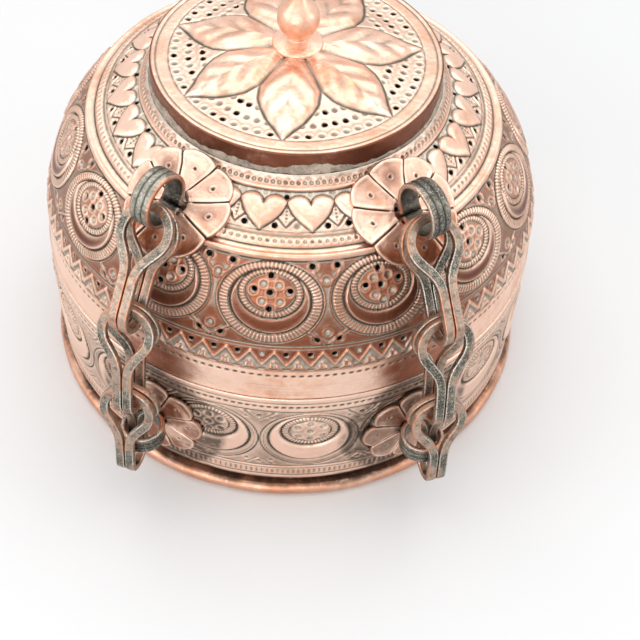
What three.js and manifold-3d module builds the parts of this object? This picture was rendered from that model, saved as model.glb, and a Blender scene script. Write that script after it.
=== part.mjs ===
// A tinned copper betel box: a round base, a domed lid tied on by two chains of folded
// links at the back, and a lift-out tray that carries five cups. Millimetres, +Z up, with
// the middle of the flat underside at the origin and the chains on the -Y side.

import * as THREE from 'three';
import Module from 'manifold-3d';
import { mergeVertices } from 'three/addons/utils/BufferGeometryUtils.js';

const wasm = await Module();
wasm.setup();

// General sizes
const GAP = 0.3;            // between pieces that touch on the real box
const SHEET = 1.6;          // copper sheet of the lid and the base wall
const LIGHT_SHEET = 1.2;    // sheet of the collar, the ledge, the tray and the top plate
const ROUND_STEPS = 48;     // flats round the large turned pieces
const SMALL_STEPS = 24;     // flats round the cups and the small turned pieces
const HOLE_STEPS = 20;      // flats round the washers and the holes for the staples

// Base
const EDGE_RADIUS = 115;    // lid at its lower edge
const EDGE_HEIGHT = 74;     // lower edge of the lid above the table
const BASE_PROUD = 0.8;     // how far the base wall stands out beyond the lid's edge
const GROOVE_DEPTH = 2.4;   // dark groove between the wall and the foot
const GROOVE_HEIGHT = 2.8;
const FOOT_HEIGHT = 7;
const FOOT_LIP = 6;         // reach of the foot's lip over the floor plate
const FLOOR_SHEET = 1.6;
const COLLAR_RISE = 5;      // collar above the base wall, inside the lid
const COLLAR_DROP = 9;      // collar below the top of the base wall
const LID_CLEARANCE = 0.6;  // between the collar and the lid all round
const LEDGE_SET_DOWN = 16;  // top of the ledge that carries the tray, below the lid's edge
const LEDGE_DROP = 6;

// Lid, with heights above its lower edge
const BAND_HEIGHT = 18.6;   // upright band with the dashes and the turned lines
const BAND_TAPER = 0.5;
const ZIGZAG_RISE = 11.2;   // zigzag band, above the upright band
const ZIGZAG_RUN = 3.2;
const MEDALLION_RISE = 32.6;
const MEDALLION_RUN = 18.5;
const MEDALLION_BULGE = 2.6;
const RIDGE_WIDTH = 3.8;    // half round ridge above the medallions
const RIDGE_PROUD = 1.2;
const HEART_RISE = 12.2;
const HEART_RUN = 20.8;
const NECK_RISE = 5.6;      // short steep band below the top plate
const NECK_RUN = 5;
const LIP_WIDTH = 6.5;      // flat lip at the mouth of the dome, under the top plate

// Top plate and finial
const PLATE_RIM_HEIGHT = 9.5;
const PLATE_SETBACK = 0.8;  // top plate's rim inside the neck of the dome
const PLATE_BORDER = 16;    // flat border outside the petals
const PETAL_RISE = 5;       // middle of the plate above its border
const FINIAL_SEAT = 12;
const FINIAL_HEIGHT = 27;
const FINIAL_BULB = 9;
const FINIAL_WAIST = 4;
const FINIAL_FOOT_EDGE = 1.5;
const FINIAL_FOOT_RISE = 4;
const FINIAL_TIP_WIDTH = 2;
const FINIAL_TIP_DROP = 2.5;
const FINIAL_FOOT_INSET = 1;
const SHANK_RADIUS = 3;
const RIVET_WASHER_RADIUS = 8.5;
const PEEN_HEIGHT = 1.6;

// Rosettes and staples
const LID_AZIMUTH = THREE.MathUtils.degToRad(34);  // lid staples, either side of the back
const PETAL_COUNT = 8;
const ROSETTE_RADIUS = 24;
const ROSETTE_SHEET = 1.1;
const PETAL_NOTCH = 0.1;    // depth of the notch between petals, as a share of the radius
const PETAL_CROWN = 0.9;
const ROSETTE_LIFT = 0.5;   // underside of a rosette above the wall
const BAND_WIDTH = 9;       // staple band
const BAND_THICK = 2.3;
const LID_LOOP_RADIUS = 11; // middle of the band in the lid staple's loop
const LID_STANDOFF = 16;    // from the dome to the middle of that loop
const LID_SHANK_TILT = THREE.MathUtils.degToRad(48);  // shank above the horizontal
const LID_STAPLE_REACH = 7.3;  // from the ridge up the heart band to the shank
const BASE_LOOP_RADIUS = 8.6;
const BASE_LOOP_RISE = 3.65;   // base staple above the end of the last link's pitch
const BASE_LOOP_INSET = 0.5;   // and its loop inside that end
const CLINCH_LENGTH = 5;
const WASHER_RADIUS = 8.2;
const WASHER_THICK = 1;
const DRILL_LENGTH = 16;    // of the cutters for the staples' holes

// Chain links
const STRIP_WIDTH = 4;      // strip seen from the front
const STRIP_THICK = 2.8;
const EYE_RADIUS = 10.4;    // middle of the strip round an eye
const LINK_PITCH = 42;      // from the eyes' tops to where the next link's eyes lie
const FOLD_DROP = 2;        // from there to the middle of the fold
const FOLD_GAP = 10.8;      // inside the fold, where the next link's eyes lie
const WAIST_DROP = 32;      // from the top of the eyes to where the strands run side by side
const STRAND_GAP = 0.5;
const EYE_PLAY = 2.6;       // between the first link's eyes and the lid staple
// Degrees, from the top link down: lean off the upright, the way that the link leans, and
// the side that its eyes face, both counted round from the back
const LEAN_ANGLES = [41.3, 15.5, 3.5];
const HEADING_ANGLES = [21, 9, 43];
const FACING_ANGLES = [26, 16.5, 17.5];

// Tray and cups
const TRAY_CLEARANCE = 10;  // finger's width between the collar and the tray's rim
const TRAY_REST = 3.2;      // width of the tray's rim that lies on the ledge
const TRAY_RIM = 7;
const CUP_COUNT = 5;
const CUP_MARGIN = 5.6;     // between the cups and the tray's rim
const CUP_RADIUS = 29.4;
const CUP_DEPTH = 33;
const CUP_FLANGE = 2.4;
const CUP_SHEET = 1.1;
const CUP_CLEARANCE = 0.6;
const CUP_CORNER = 6;
const KNOB_HEIGHT = 24;
const KNOB_RADIUS = 7.5;
const KNOB_FOOT_REACH = 2;  // foot of the knob beyond its ball
const KNOB_FOOT_EDGE = 1.5;
const KNOB_FOOT_RISE = 3.5;

// Finishes
const finish = (color, roughness, metalness) => ({ color, roughness, metalness });
const COPPER = finish(0xc47a55, 0.38, 0.85);
const TINNED = finish(0x9a948a, 0.45, 0.8);
const INSIDE = finish(0xb3aea4, 0.5, 0.7);

const part = new THREE.Group();

function addPiece(name, geometry, look) {
  const mesh = new THREE.Mesh(geometry, new THREE.MeshStandardMaterial(look));
  mesh.name = name;
  part.add(mesh);
  return mesh;
}

// Outlines

const at = (x, y) => new THREE.Vector2(x, y);
const closeOutline = (points) => [...points, points[0].clone()];

function arcPoints(centre, radius, from, to, steps) {
  const points = [];
  for (let i = 0; i <= steps; i += 1) {
    const angle = from + ((to - from) * i) / steps;
    points.push(at(centre.x + radius * Math.cos(angle), centre.y + radius * Math.sin(angle)));
  }
  return points;
}

// A line set off to its left by a distance, with mitred corners
function offsetLine(points, distance) {
  return points.map((point, i) => {
    const before = i > 0 ? point.clone().sub(points[i - 1]).normalize() : null;
    const after = i < points.length - 1 ? points[i + 1].clone().sub(point).normalize() : null;
    const along = (before ?? after).clone().add(after ?? before).normalize();
    const lean = along.dot(before ?? after);
    return at(point.x - (along.y * distance) / lean, point.y + (along.x * distance) / lean);
  });
}

// Sheet whose outer face follows a line that climbs the outside of the piece
function sheetOutline(outer, thickness) {
  return closeOutline([...outer, ...offsetLine(outer, thickness).reverse()]);
}

// Turned pieces and cuts

function bare(geometry) {
  geometry.deleteAttribute('normal');
  geometry.deleteAttribute('uv');
  return mergeVertices(geometry, 1e-4);
}

function turned(outline, steps) {
  return bare(new THREE.LatheGeometry(outline, steps)).rotateX(Math.PI / 2);
}

function toSolid(geometry) {
  const merged = bare(geometry.clone());
  return new wasm.Manifold(new wasm.Mesh({
    numProp: 3,
    vertProperties: new Float32Array(merged.attributes.position.array),
    triVerts: new Uint32Array(merged.index.array),
  }));
}

function toGeometry(solid) {
  const mesh = solid.getMesh();
  const geometry = new THREE.BufferGeometry();
  geometry.setAttribute('position', new THREE.BufferAttribute(mesh.vertProperties, 3));
  geometry.setIndex(new THREE.BufferAttribute(mesh.triVerts, 1));
  return geometry;
}

function cut(geometry, cutters) {
  let solid = toSolid(geometry);
  for (const cutter of cutters) solid = solid.subtract(toSolid(cutter));
  return toGeometry(solid);
}

// A round cutter centred on a place, with its length along a direction
function drill(place, direction, radius, length) {
  const turn = new THREE.Quaternion().setFromUnitVectors(new THREE.Vector3(0, 1, 0), direction);
  return new THREE.CylinderGeometry(radius, radius, length, HOLE_STEPS)
    .applyQuaternion(turn)
    .translate(place.x, place.y, place.z);
}

// Lid outline, from its lower edge up to the mouth under the top plate

const bandTop = at(EDGE_RADIUS - BAND_TAPER, EDGE_HEIGHT + BAND_HEIGHT);
const zigzagTop = at(bandTop.x - ZIGZAG_RUN, bandTop.y + ZIGZAG_RISE);
const ridgeFoot = at(zigzagTop.x - MEDALLION_RUN, zigzagTop.y + MEDALLION_RISE);
const heartSlope = at(-HEART_RUN, HEART_RISE).normalize();
const heartNormal = at(heartSlope.y, -heartSlope.x);
const ridgeHead = ridgeFoot.clone().addScaledVector(heartSlope, RIDGE_WIDTH);
const ridgeCrest = ridgeFoot.clone().add(ridgeHead).multiplyScalar(0.5)
  .addScaledVector(heartNormal, RIDGE_PROUD);
const heartTop = ridgeHead.clone().add(at(-HEART_RUN, HEART_RISE));
const neckTop = heartTop.clone().add(at(-NECK_RUN, NECK_RISE));
const mouth = at(neckTop.x - LIP_WIDTH, neckTop.y);

// Point of the medallion band at a share of its height, on its gentle bulge
function medallionPoint(share) {
  const chord = ridgeFoot.clone().sub(zigzagTop);
  const normal = at(chord.y, -chord.x).normalize();
  const bulge = MEDALLION_BULGE * 4 * share * (1 - share);
  return zigzagTop.clone().addScaledVector(chord, share).addScaledVector(normal, bulge);
}

const lidOutline = [
  at(EDGE_RADIUS, EDGE_HEIGHT),
  bandTop,
  zigzagTop,
  medallionPoint(0.25),
  medallionPoint(0.5),
  medallionPoint(0.75),
  ridgeFoot,
  ridgeCrest,
  ridgeHead,
  heartTop,
  neckTop,
  mouth,
];

// Frames: a staple or rosette stands in the upright plane of its chain

const UP = new THREE.Vector3(0, 0, 1);

function outward(azimuth) {
  return new THREE.Vector3(Math.sin(azimuth), -Math.cos(azimuth), 0);
}

// Point at a distance from the axis and a height, in the upright plane of an azimuth
function inPlane(azimuth, point) {
  return outward(azimuth).multiplyScalar(point.x).addScaledVector(UP, point.y);
}

// Staples: a flat band, looped and driven through the wall, its ends clinched inside.
// The centre line is drawn with the wall at the origin and the shank along +X.

function stapleOutline(loopRadius, standoff, depth, clinchTilt) {
  const half = BAND_THICK / 2 + GAP / 2;
  const opening = Math.asin(half / loopRadius);
  const loop = arcPoints(at(standoff, 0), loopRadius, Math.PI - opening, opening - Math.PI, 18);
  const inner = -(depth + BAND_THICK / 2) / Math.cos(clinchTilt);
  const skew = Math.tan(clinchTilt);
  const tip = half + CLINCH_LENGTH * Math.cos(clinchTilt);
  const line = [
    at(inner - tip * skew, tip),
    at(inner - half * skew, half),
    ...loop,
    at(inner + half * skew, -half),
    at(inner + tip * skew, -tip),
  ];
  const outerFace = offsetLine(line, BAND_THICK / 2);
  const innerFace = offsetLine(line, -BAND_THICK / 2).reverse();
  return new THREE.Shape([...outerFace, ...innerFace]);
}

// A staple with its loop in the plane of two directions, at a place on the wall
function staple(shape, place, shank, sideways) {
  const geometry = new THREE.ExtrudeGeometry(shape, { depth: BAND_WIDTH, bevelEnabled: false });
  geometry.translate(0, 0, -BAND_WIDTH / 2);
  const across = shank.clone().cross(sideways);
  geometry.applyMatrix4(new THREE.Matrix4().makeBasis(shank, sideways, across).setPosition(place));
  return bare(geometry);
}

const shankHoleRadius = Math.hypot(BAND_THICK + GAP / 2, BAND_WIDTH / 2) + GAP;

// Rosettes: a ring of petals in one cupped sheet that follows the wall under it.
// The line gives distance from the axis and height, from the rosette's top to its bottom.

function rosette(line, centreShare, azimuth) {
  const spokes = PETAL_COUNT * 4;
  const shares = [0, 0.4, 0.78, 1];
  const holeRadius = shankHoleRadius + 2 * GAP;
  const length = line.getLength();
  const positions = [];
  const put = (reach, spoke, lift) => {
    const turn = (2 * Math.PI * spoke) / spokes;
    const down = centreShare * length + reach * Math.cos(turn);
    const point = line.getPointAt(down / length);
    const tangent = line.getTangentAt(down / length);
    const raised = at(point.x - tangent.y * lift, point.y + tangent.x * lift);
    const angle = azimuth + (reach * Math.sin(turn)) / point.x;
    positions.push(...inPlane(angle, raised).toArray());
  };
  const layer = (thickness, crown) => {
    for (const share of shares) {
      for (let spoke = 0; spoke < spokes; spoke += 1) {
        const petal = Math.abs(Math.cos((Math.PI * PETAL_COUNT * spoke) / spokes));
        const rim = ROSETTE_RADIUS * (1 - PETAL_NOTCH * (1 - petal));
        const reach = holeRadius + (rim - holeRadius) * share;
        put(reach, spoke, thickness + crown * petal * Math.sin(Math.PI * share));
      }
    }
  };
  layer(0, 0);
  layer(ROSETTE_SHEET, PETAL_CROWN);
  const rows = shares.length;
  const index = [];
  const quad = (a, b, c, d) => index.push(a, b, c, a, c, d);
  for (let spoke = 0; spoke < spokes; spoke += 1) {
    const next = (spoke + 1) % spokes;
    const low = (row, s) => row * spokes + s;
    const high = (row, s) => (rows + row) * spokes + s;
    for (let row = 0; row + 1 < rows; row += 1) {
      quad(high(row, spoke), high(row + 1, spoke), high(row + 1, next), high(row, next));
      quad(low(row, spoke), low(row, next), low(row + 1, next), low(row + 1, spoke));
    }
    const outer = rows - 1;
    quad(low(outer, spoke), low(outer, next), high(outer, next), high(outer, spoke));
    quad(low(0, spoke), high(0, spoke), high(0, next), low(0, next));
  }
  const geometry = new THREE.BufferGeometry();
  geometry.setAttribute('position', new THREE.Float32BufferAttribute(positions, 3));
  geometry.setIndex(index);
  return geometry;
}

// Flat round washer on the inner face of a wall
function washer(place, normal, holeRadius, radius, thickness) {
  const outline = closeOutline([
    at(holeRadius, 0),
    at(radius, 0),
    at(radius, thickness),
    at(holeRadius, thickness),
  ]);
  const turn = new THREE.Quaternion().setFromUnitVectors(UP, normal);
  return turned(outline, HOLE_STEPS).applyQuaternion(turn).translate(place.x, place.y, place.z);
}

// Chain links: one closed loop of strip, pinched at the waist and folded in two.
// In its own frame the eyes' tops are at the origin, +Y points in and +Z up the link.

const foldRadius = FOLD_GAP / 2 + STRIP_THICK / 2;
const strandOffset = STRIP_WIDTH / 2 + STRAND_GAP / 2;
const eyeDepth = STRIP_THICK / 2 + STRAND_GAP / 2;
const foldMiddle = -LINK_PITCH - FOLD_DROP;

// One quarter of the strip: from the top of the front eye down to the start of the fold
function linkQuarter() {
  const eye = arcPoints(at(0, -EYE_RADIUS), EYE_RADIUS, Math.PI / 2, -Math.PI / 5, 6);
  const last = eye[eye.length - 1];
  const leave = at(last.y + EYE_RADIUS, -last.x).normalize();
  const neck = new THREE.CubicBezierCurve(
    last,
    last.clone().addScaledVector(leave, EYE_RADIUS * 0.7),
    at(strandOffset, EYE_RADIUS * 0.8 - WAIST_DROP),
    at(strandOffset, -WAIST_DROP),
  );
  const line = [...eye, ...neck.getPoints(4).slice(1), at(strandOffset, foldMiddle)];
  return line.map((point) => {
    const share = Math.min(-point.y / WAIST_DROP, 1);
    const depth = eyeDepth + (foldRadius - eyeDepth) * share * share * (3 - 2 * share);
    return { point: new THREE.Vector3(point.x, -depth, point.y), out: new THREE.Vector3(0, -1, 0) };
  });
}

function linkStations() {
  const front = linkQuarter();
  const fold = [];
  const foldSteps = 6;
  for (let i = 1; i < foldSteps; i += 1) {
    const angle = (Math.PI * i) / foldSteps;
    const out = new THREE.Vector3(0, -Math.cos(angle), -Math.sin(angle));
    const point = new THREE.Vector3(strandOffset, 0, foldMiddle).addScaledVector(out, foldRadius);
    fold.push({ point, out });
  }
  const mirror = (station, x, y) => ({
    point: new THREE.Vector3(station.point.x * x, station.point.y * y, station.point.z),
    out: new THREE.Vector3(station.out.x * x, station.out.y * y, station.out.z),
  });
  const back = front.map((station) => mirror(station, 1, -1)).reverse();
  const right = [...front, ...fold, ...back];
  const left = right.slice(1, -1).map((station) => mirror(station, -1, 1)).reverse();
  return [...right, ...left];
}

// Strip of rectangular section swept round a closed run of stations
function sweptStrip(stations, width, thickness) {
  const count = stations.length;
  const positions = [];
  stations.forEach(({ point, out }, i) => {
    const along = stations[(i + 1) % count].point.clone()
      .sub(stations[(i + count - 1) % count].point).normalize();
    const through = out.clone().addScaledVector(along, -out.dot(along)).normalize();
    const across = along.clone().cross(through);
    for (const [a, b] of [[-1, -1], [1, -1], [1, 1], [-1, 1]]) {
      const corner = point.clone()
        .addScaledVector(across, (a * width) / 2)
        .addScaledVector(through, (b * thickness) / 2);
      positions.push(...corner.toArray());
    }
  });
  const index = [];
  for (let i = 0; i < count; i += 1) {
    const here = i * 4;
    const next = ((i + 1) % count) * 4;
    for (let side = 0; side < 4; side += 1) {
      const turn = (side + 1) % 4;
      index.push(here + side, next + side, next + turn, here + side, next + turn, here + turn);
    }
  }
  const geometry = new THREE.BufferGeometry();
  geometry.setAttribute('position', new THREE.Float32BufferAttribute(positions, 3));
  geometry.setIndex(index);
  return geometry;
}

// Base

const wallRadius = EDGE_RADIUS + BASE_PROUD;
const grooveRadius = wallRadius - GROOVE_DEPTH;
const wallBottom = FOOT_HEIGHT + GAP;
const wallTop = EDGE_HEIGHT - GAP;
const wallInside = wallRadius - SHEET;
const floorRadius = grooveRadius - SHEET - GAP;

function baseWall() {
  const outer = [
    at(grooveRadius, wallBottom),
    at(grooveRadius, wallBottom + GROOVE_HEIGHT),
    at(wallRadius, wallBottom + GROOVE_HEIGHT + GROOVE_DEPTH),
    at(wallRadius, wallTop),
  ];
  return turned(sheetOutline(outer, SHEET), ROUND_STEPS);
}

function footRing() {
  const bead = FOOT_HEIGHT / 2;
  const inside = floorRadius + GAP;
  const outline = [
    at(inside, 0),
    ...arcPoints(at(wallRadius - GAP, bead), bead, -Math.PI / 2, Math.PI / 2, 6),
    at(inside - FOOT_LIP, FOOT_HEIGHT),
    at(inside - FOOT_LIP, FLOOR_SHEET + GAP),
    at(inside, FLOOR_SHEET + GAP),
  ];
  return turned(closeOutline(outline), ROUND_STEPS);
}

function baseFloor() {
  return turned([
    at(0, 0),
    at(floorRadius, 0),
    at(floorRadius, FLOOR_SHEET),
    at(0, FLOOR_SHEET),
  ], ROUND_STEPS);
}

const collarRadius = EDGE_RADIUS - SHEET - LID_CLEARANCE;

function lidCollar() {
  const seat = wallInside - GAP;
  const outer = [
    at(seat, wallTop - COLLAR_DROP),
    at(seat, wallTop - (seat - collarRadius)),
    at(collarRadius, wallTop),
    at(collarRadius, wallTop + COLLAR_RISE),
  ];
  return turned(sheetOutline(outer, LIGHT_SHEET), ROUND_STEPS);
}

const ledgeHeight = EDGE_HEIGHT - LEDGE_SET_DOWN;

function trayLedge() {
  const seat = wallInside - GAP;
  const outer = [
    at(seat, ledgeHeight - LEDGE_DROP),
    at(seat, ledgeHeight),
    at(trayRadius - TRAY_REST, ledgeHeight),
  ];
  return turned(sheetOutline(outer, LIGHT_SHEET), ROUND_STEPS);
}

// Lid

function lidDome() {
  return turned(sheetOutline(lidOutline, SHEET), ROUND_STEPS);
}

const plateRadius = neckTop.x - PLATE_SETBACK;
const plateFoot = neckTop.y + GAP;
const plateTop = plateFoot + PLATE_RIM_HEIGHT;
const petalReach = plateRadius - PLATE_BORDER;
const finialFoot = plateTop + PETAL_RISE;
const shankHole = SHANK_RADIUS + GAP;

function lidTopPlate() {
  const middle = (petalReach + FINIAL_SEAT) / 2;
  const outer = [
    at(plateRadius, plateFoot),
    at(plateRadius, plateTop),
    at(petalReach, plateTop),
    at(middle, plateTop + PETAL_RISE * 0.72),
    at(FINIAL_SEAT, finialFoot),
    at(shankHole, finialFoot),
  ];
  return turned(sheetOutline(outer, LIGHT_SHEET), ROUND_STEPS);
}

// Rivet end under a plate: the shank below a seat, the gap for a washer and the peened head
function rivetOutline(seat, sheet) {
  const washerBottom = seat - sheet - GAP - WASHER_THICK;
  const headTop = washerBottom - GAP;
  return [
    at(0, headTop - PEEN_HEIGHT),
    at(SHANK_RADIUS + PEEN_HEIGHT, headTop - PEEN_HEIGHT),
    at(SHANK_RADIUS + PEEN_HEIGHT, headTop),
    at(SHANK_RADIUS, headTop),
    at(SHANK_RADIUS, seat + GAP),
  ];
}

function finial() {
  const foot = finialFoot + GAP;
  const bulbMiddle = foot + FINIAL_HEIGHT * 0.5;
  const bulb = arcPoints(at(0, bulbMiddle), FINIAL_BULB, -Math.PI / 3.2, Math.PI / 4, 6);
  return turned([
    ...rivetOutline(finialFoot, LIGHT_SHEET),
    at(FINIAL_SEAT - FINIAL_FOOT_INSET, foot),
    at(FINIAL_SEAT - FINIAL_FOOT_INSET, foot + FINIAL_FOOT_EDGE),
    at(FINIAL_WAIST, foot + FINIAL_FOOT_RISE),
    ...bulb,
    at(FINIAL_TIP_WIDTH, foot + FINIAL_HEIGHT - FINIAL_TIP_DROP),
    at(0, foot + FINIAL_HEIGHT),
  ], SMALL_STEPS);
}

function rivetWasher(seat, sheet) {
  const place = new THREE.Vector3(0, 0, seat - sheet - GAP - WASHER_THICK);
  return washer(place, UP, shankHole, RIVET_WASHER_RADIUS, WASHER_THICK);
}

// Where the staples stand

const lidStapleFoot = ridgeHead.clone().addScaledVector(heartSlope, LID_STAPLE_REACH);
const lidShank = at(Math.cos(LID_SHANK_TILT), Math.sin(LID_SHANK_TILT));
const lidLoop = lidStapleFoot.clone().addScaledVector(lidShank, LID_STANDOFF);

// Tops of the first link's eyes below the middle of the lid staple's loop: the round eyes
// rest on the flat band with the corners of the strip
function firstEyeDrop() {
  const eyeInside = EYE_RADIUS - STRIP_WIDTH / 2;
  const loopInside = LID_LOOP_RADIUS - BAND_THICK / 2;
  const eyeSag = eyeInside - Math.sqrt(eyeInside ** 2 - (BAND_WIDTH / 2) ** 2);
  const loopSag = loopInside - Math.sqrt(loopInside ** 2 - (eyeDepth + STRIP_THICK / 2) ** 2);
  return loopInside - STRIP_WIDTH / 2 - eyeSag - loopSag - EYE_PLAY;
}

// Tops of each link's eyes and the end of the last link's pitch, in the right-hand chain
function chainPoints() {
  const points = [];
  const place = inPlane(LID_AZIMUTH, lidLoop);
  LEAN_ANGLES.map(THREE.MathUtils.degToRad).forEach((lean, i) => {
    const heading = THREE.MathUtils.degToRad(HEADING_ANGLES[i]);
    const down = inPlane(heading, at(Math.sin(lean), -Math.cos(lean)));
    if (i === 0) place.addScaledVector(down, firstEyeDrop());
    points.push(place.clone());
    place.addScaledVector(down, LINK_PITCH);
  });
  return [...points, place];
}

const chain = chainPoints();
const chainEnd = chain[chain.length - 1];
const baseAzimuth = Math.atan2(chainEnd.x, -chainEnd.y);
const chainEndRadius = Math.hypot(chainEnd.x, chainEnd.y);
const baseStandoff = chainEndRadius - wallRadius - BASE_LOOP_RADIUS - BASE_LOOP_INSET;
const baseStapleHeight = chainEnd.z + BASE_LOOP_RISE;
const baseStapleFoot = at(wallRadius, baseStapleHeight);

// Line down the outside of the dome, clear of the ridge, that the lid rosettes follow
const lidRosetteLine = new THREE.SplineCurve([
  neckTop.clone().add(at(ROSETTE_LIFT, ROSETTE_LIFT * 2)),
  heartTop.clone().addScaledVector(heartNormal, ROSETTE_LIFT * 2),
  lidStapleFoot.clone().addScaledVector(heartNormal, ROSETTE_LIFT + RIDGE_PROUD / 2),
  ridgeCrest.clone().addScaledVector(heartNormal, ROSETTE_LIFT),
  medallionPoint(0.7).add(at(ROSETTE_LIFT + RIDGE_PROUD / 2, ROSETTE_LIFT + RIDGE_PROUD / 2)),
  medallionPoint(0.4).add(at(ROSETTE_LIFT + RIDGE_PROUD / 2, ROSETTE_LIFT)),
]);

// Share of a line's length at which it comes nearest to a point
function nearestShare(line, point) {
  const steps = 400;
  let best = 0;
  for (let i = 0; i <= steps; i += 1) {
    const nearer = line.getPointAt(i / steps).distanceTo(point)
      < line.getPointAt(best).distanceTo(point);
    if (nearer) best = i / steps;
  }
  return best;
}

const baseRosetteLine = new THREE.LineCurve(
  at(wallRadius + ROSETTE_LIFT, baseStapleHeight + ROSETTE_RADIUS),
  at(wallRadius + ROSETTE_LIFT, baseStapleHeight - ROSETTE_RADIUS),
);

// The wall's own inward normal leans off the shank by this much on the lid
const lidClinchTilt = Math.atan2(heartNormal.y, heartNormal.x) - LID_SHANK_TILT;

// Room that a flat washer needs inside a round wall built of flats
function washerSag(radius) {
  const round = radius - Math.sqrt(radius ** 2 - WASHER_RADIUS ** 2);
  const flats = radius * (1 - Math.cos(Math.PI / ROUND_STEPS));
  return round + flats;
}

const lidSag = washerSag(lidStapleFoot.x / heartNormal.x);
const baseSag = washerSag(wallRadius);
const clinchDepth = (sag) => SHEET + 2 * GAP + WASHER_THICK + sag;

function addLidStaple(name, side) {
  const azimuth = side * LID_AZIMUTH;
  const shank = inPlane(azimuth, lidShank);
  const place = inPlane(azimuth, lidStapleFoot);
  const normal = inPlane(azimuth, heartNormal);
  const upright = inPlane(azimuth, at(-lidShank.y, lidShank.x));
  const shape = stapleOutline(LID_LOOP_RADIUS, LID_STANDOFF, clinchDepth(lidSag), lidClinchTilt);
  addPiece(`lid_staple_${name}`, staple(shape, place, shank, upright), TINNED);
  const share = nearestShare(lidRosetteLine, lidStapleFoot);
  addPiece(`lid_rosette_${name}`, rosette(lidRosetteLine, share, azimuth), COPPER);
  addPiece(`lid_washer_${name}`, stapleWasher(place, normal, lidSag), TINNED);
}

function addBaseStaple(name, side) {
  const azimuth = side * baseAzimuth;
  const out = outward(azimuth);
  const place = inPlane(azimuth, baseStapleFoot);
  const sideways = UP.clone().cross(out);
  const shape = stapleOutline(BASE_LOOP_RADIUS, baseStandoff, clinchDepth(baseSag), 0);
  addPiece(`base_staple_${name}`, staple(shape, place, out, sideways), TINNED);
  addPiece(`base_rosette_${name}`, rosette(baseRosetteLine, 0.5, azimuth), COPPER);
  addPiece(`base_washer_${name}`, stapleWasher(place, out, baseSag), TINNED);
}

// Washer inside the wall, round the clinched ends of the staple that stands at a place
function stapleWasher(place, normal, sag) {
  const seat = place.clone().addScaledVector(normal, -SHEET - GAP - sag);
  const inward = normal.clone().negate();
  return washer(seat, inward, shankHoleRadius + GAP, WASHER_RADIUS, WASHER_THICK);
}

function addLinks(name, side) {
  const points = chain.map((point) => new THREE.Vector3(side * point.x, point.y, point.z));
  FACING_ANGLES.map(THREE.MathUtils.degToRad).forEach((facing, i) => {
    const up = points[i].clone().sub(points[i + 1]).normalize();
    const inward = outward(side * facing).negate();
    const across = inward.clone().cross(up).normalize();
    const link = addPiece(`chain_${name}_link_${i + 1}`,
      sweptStrip(linkStations(), STRIP_WIDTH, STRIP_THICK), TINNED);
    link.quaternion.setFromRotationMatrix(
      new THREE.Matrix4().makeBasis(across, up.clone().cross(across), up));
    link.position.copy(points[i]);
  });
}

// Tray

const trayRadius = collarRadius - LIGHT_SHEET - TRAY_CLEARANCE;
const trayFloor = ledgeHeight + GAP;
const trayTop = trayFloor + LIGHT_SHEET;
const cupHole = CUP_RADIUS + CUP_CLEARANCE;
const cupCircle = trayRadius - LIGHT_SHEET - CUP_MARGIN - CUP_FLANGE - CUP_RADIUS;

function cupPlace(i) {
  const angle = (2 * Math.PI * i) / CUP_COUNT;
  return new THREE.Vector3(cupCircle * Math.sin(angle), cupCircle * Math.cos(angle), 0);
}

function tray() {
  const plate = turned([
    at(0, trayFloor),
    at(trayRadius, trayFloor),
    at(trayRadius, trayFloor + TRAY_RIM),
    at(trayRadius - LIGHT_SHEET, trayFloor + TRAY_RIM),
    at(trayRadius - LIGHT_SHEET, trayTop),
    at(0, trayTop),
  ], ROUND_STEPS);
  const cutters = [drill(new THREE.Vector3(0, 0, trayFloor), UP, shankHole, TRAY_RIM)];
  for (let i = 0; i < CUP_COUNT; i += 1) {
    const place = cupPlace(i).setZ(trayFloor);
    cutters.push(turned([
      at(0, -TRAY_RIM),
      at(cupHole, -TRAY_RIM),
      at(cupHole, TRAY_RIM),
      at(0, TRAY_RIM),
    ], SMALL_STEPS).translate(place.x, place.y, place.z));
  }
  return cut(plate, cutters);
}

function trayKnob() {
  const foot = trayTop + GAP;
  const middle = at(0, foot + KNOB_HEIGHT - KNOB_RADIUS);
  const ball = arcPoints(middle, KNOB_RADIUS, -Math.PI / 3, Math.PI / 2, 6);
  return turned([
    ...rivetOutline(trayTop, LIGHT_SHEET),
    at(KNOB_RADIUS + KNOB_FOOT_REACH, foot),
    at(KNOB_RADIUS + KNOB_FOOT_REACH, foot + KNOB_FOOT_EDGE),
    at(SHANK_RADIUS, foot + KNOB_FOOT_RISE),
    ...ball.slice(0, -1),
    at(0, foot + KNOB_HEIGHT),
  ], SMALL_STEPS);
}

function cup() {
  const seat = trayTop + GAP;
  const bottom = seat - CUP_DEPTH;
  const inner = CUP_RADIUS - CUP_SHEET;
  const corner = at(CUP_RADIUS - CUP_CORNER, bottom + CUP_CORNER);
  return turned([
    at(0, bottom),
    ...arcPoints(corner, CUP_CORNER, -Math.PI / 2, 0, 3),
    at(CUP_RADIUS, seat),
    at(CUP_RADIUS + CUP_FLANGE, seat),
    at(CUP_RADIUS + CUP_FLANGE, seat + CUP_SHEET),
    at(inner, seat + CUP_SHEET),
    ...arcPoints(corner, CUP_CORNER - CUP_SHEET, 0, -Math.PI / 2, 3),
    at(0, bottom + CUP_SHEET),
  ], SMALL_STEPS);
}

// Assembly

// Holes for the shanks of the two staples that stand on one wall, either side of the back
function shankHoles(azimuth, foot, shank) {
  return [-azimuth, azimuth].map((angle) => (
    drill(inPlane(angle, foot), inPlane(angle, shank), shankHoleRadius, DRILL_LENGTH)
  ));
}

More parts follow.
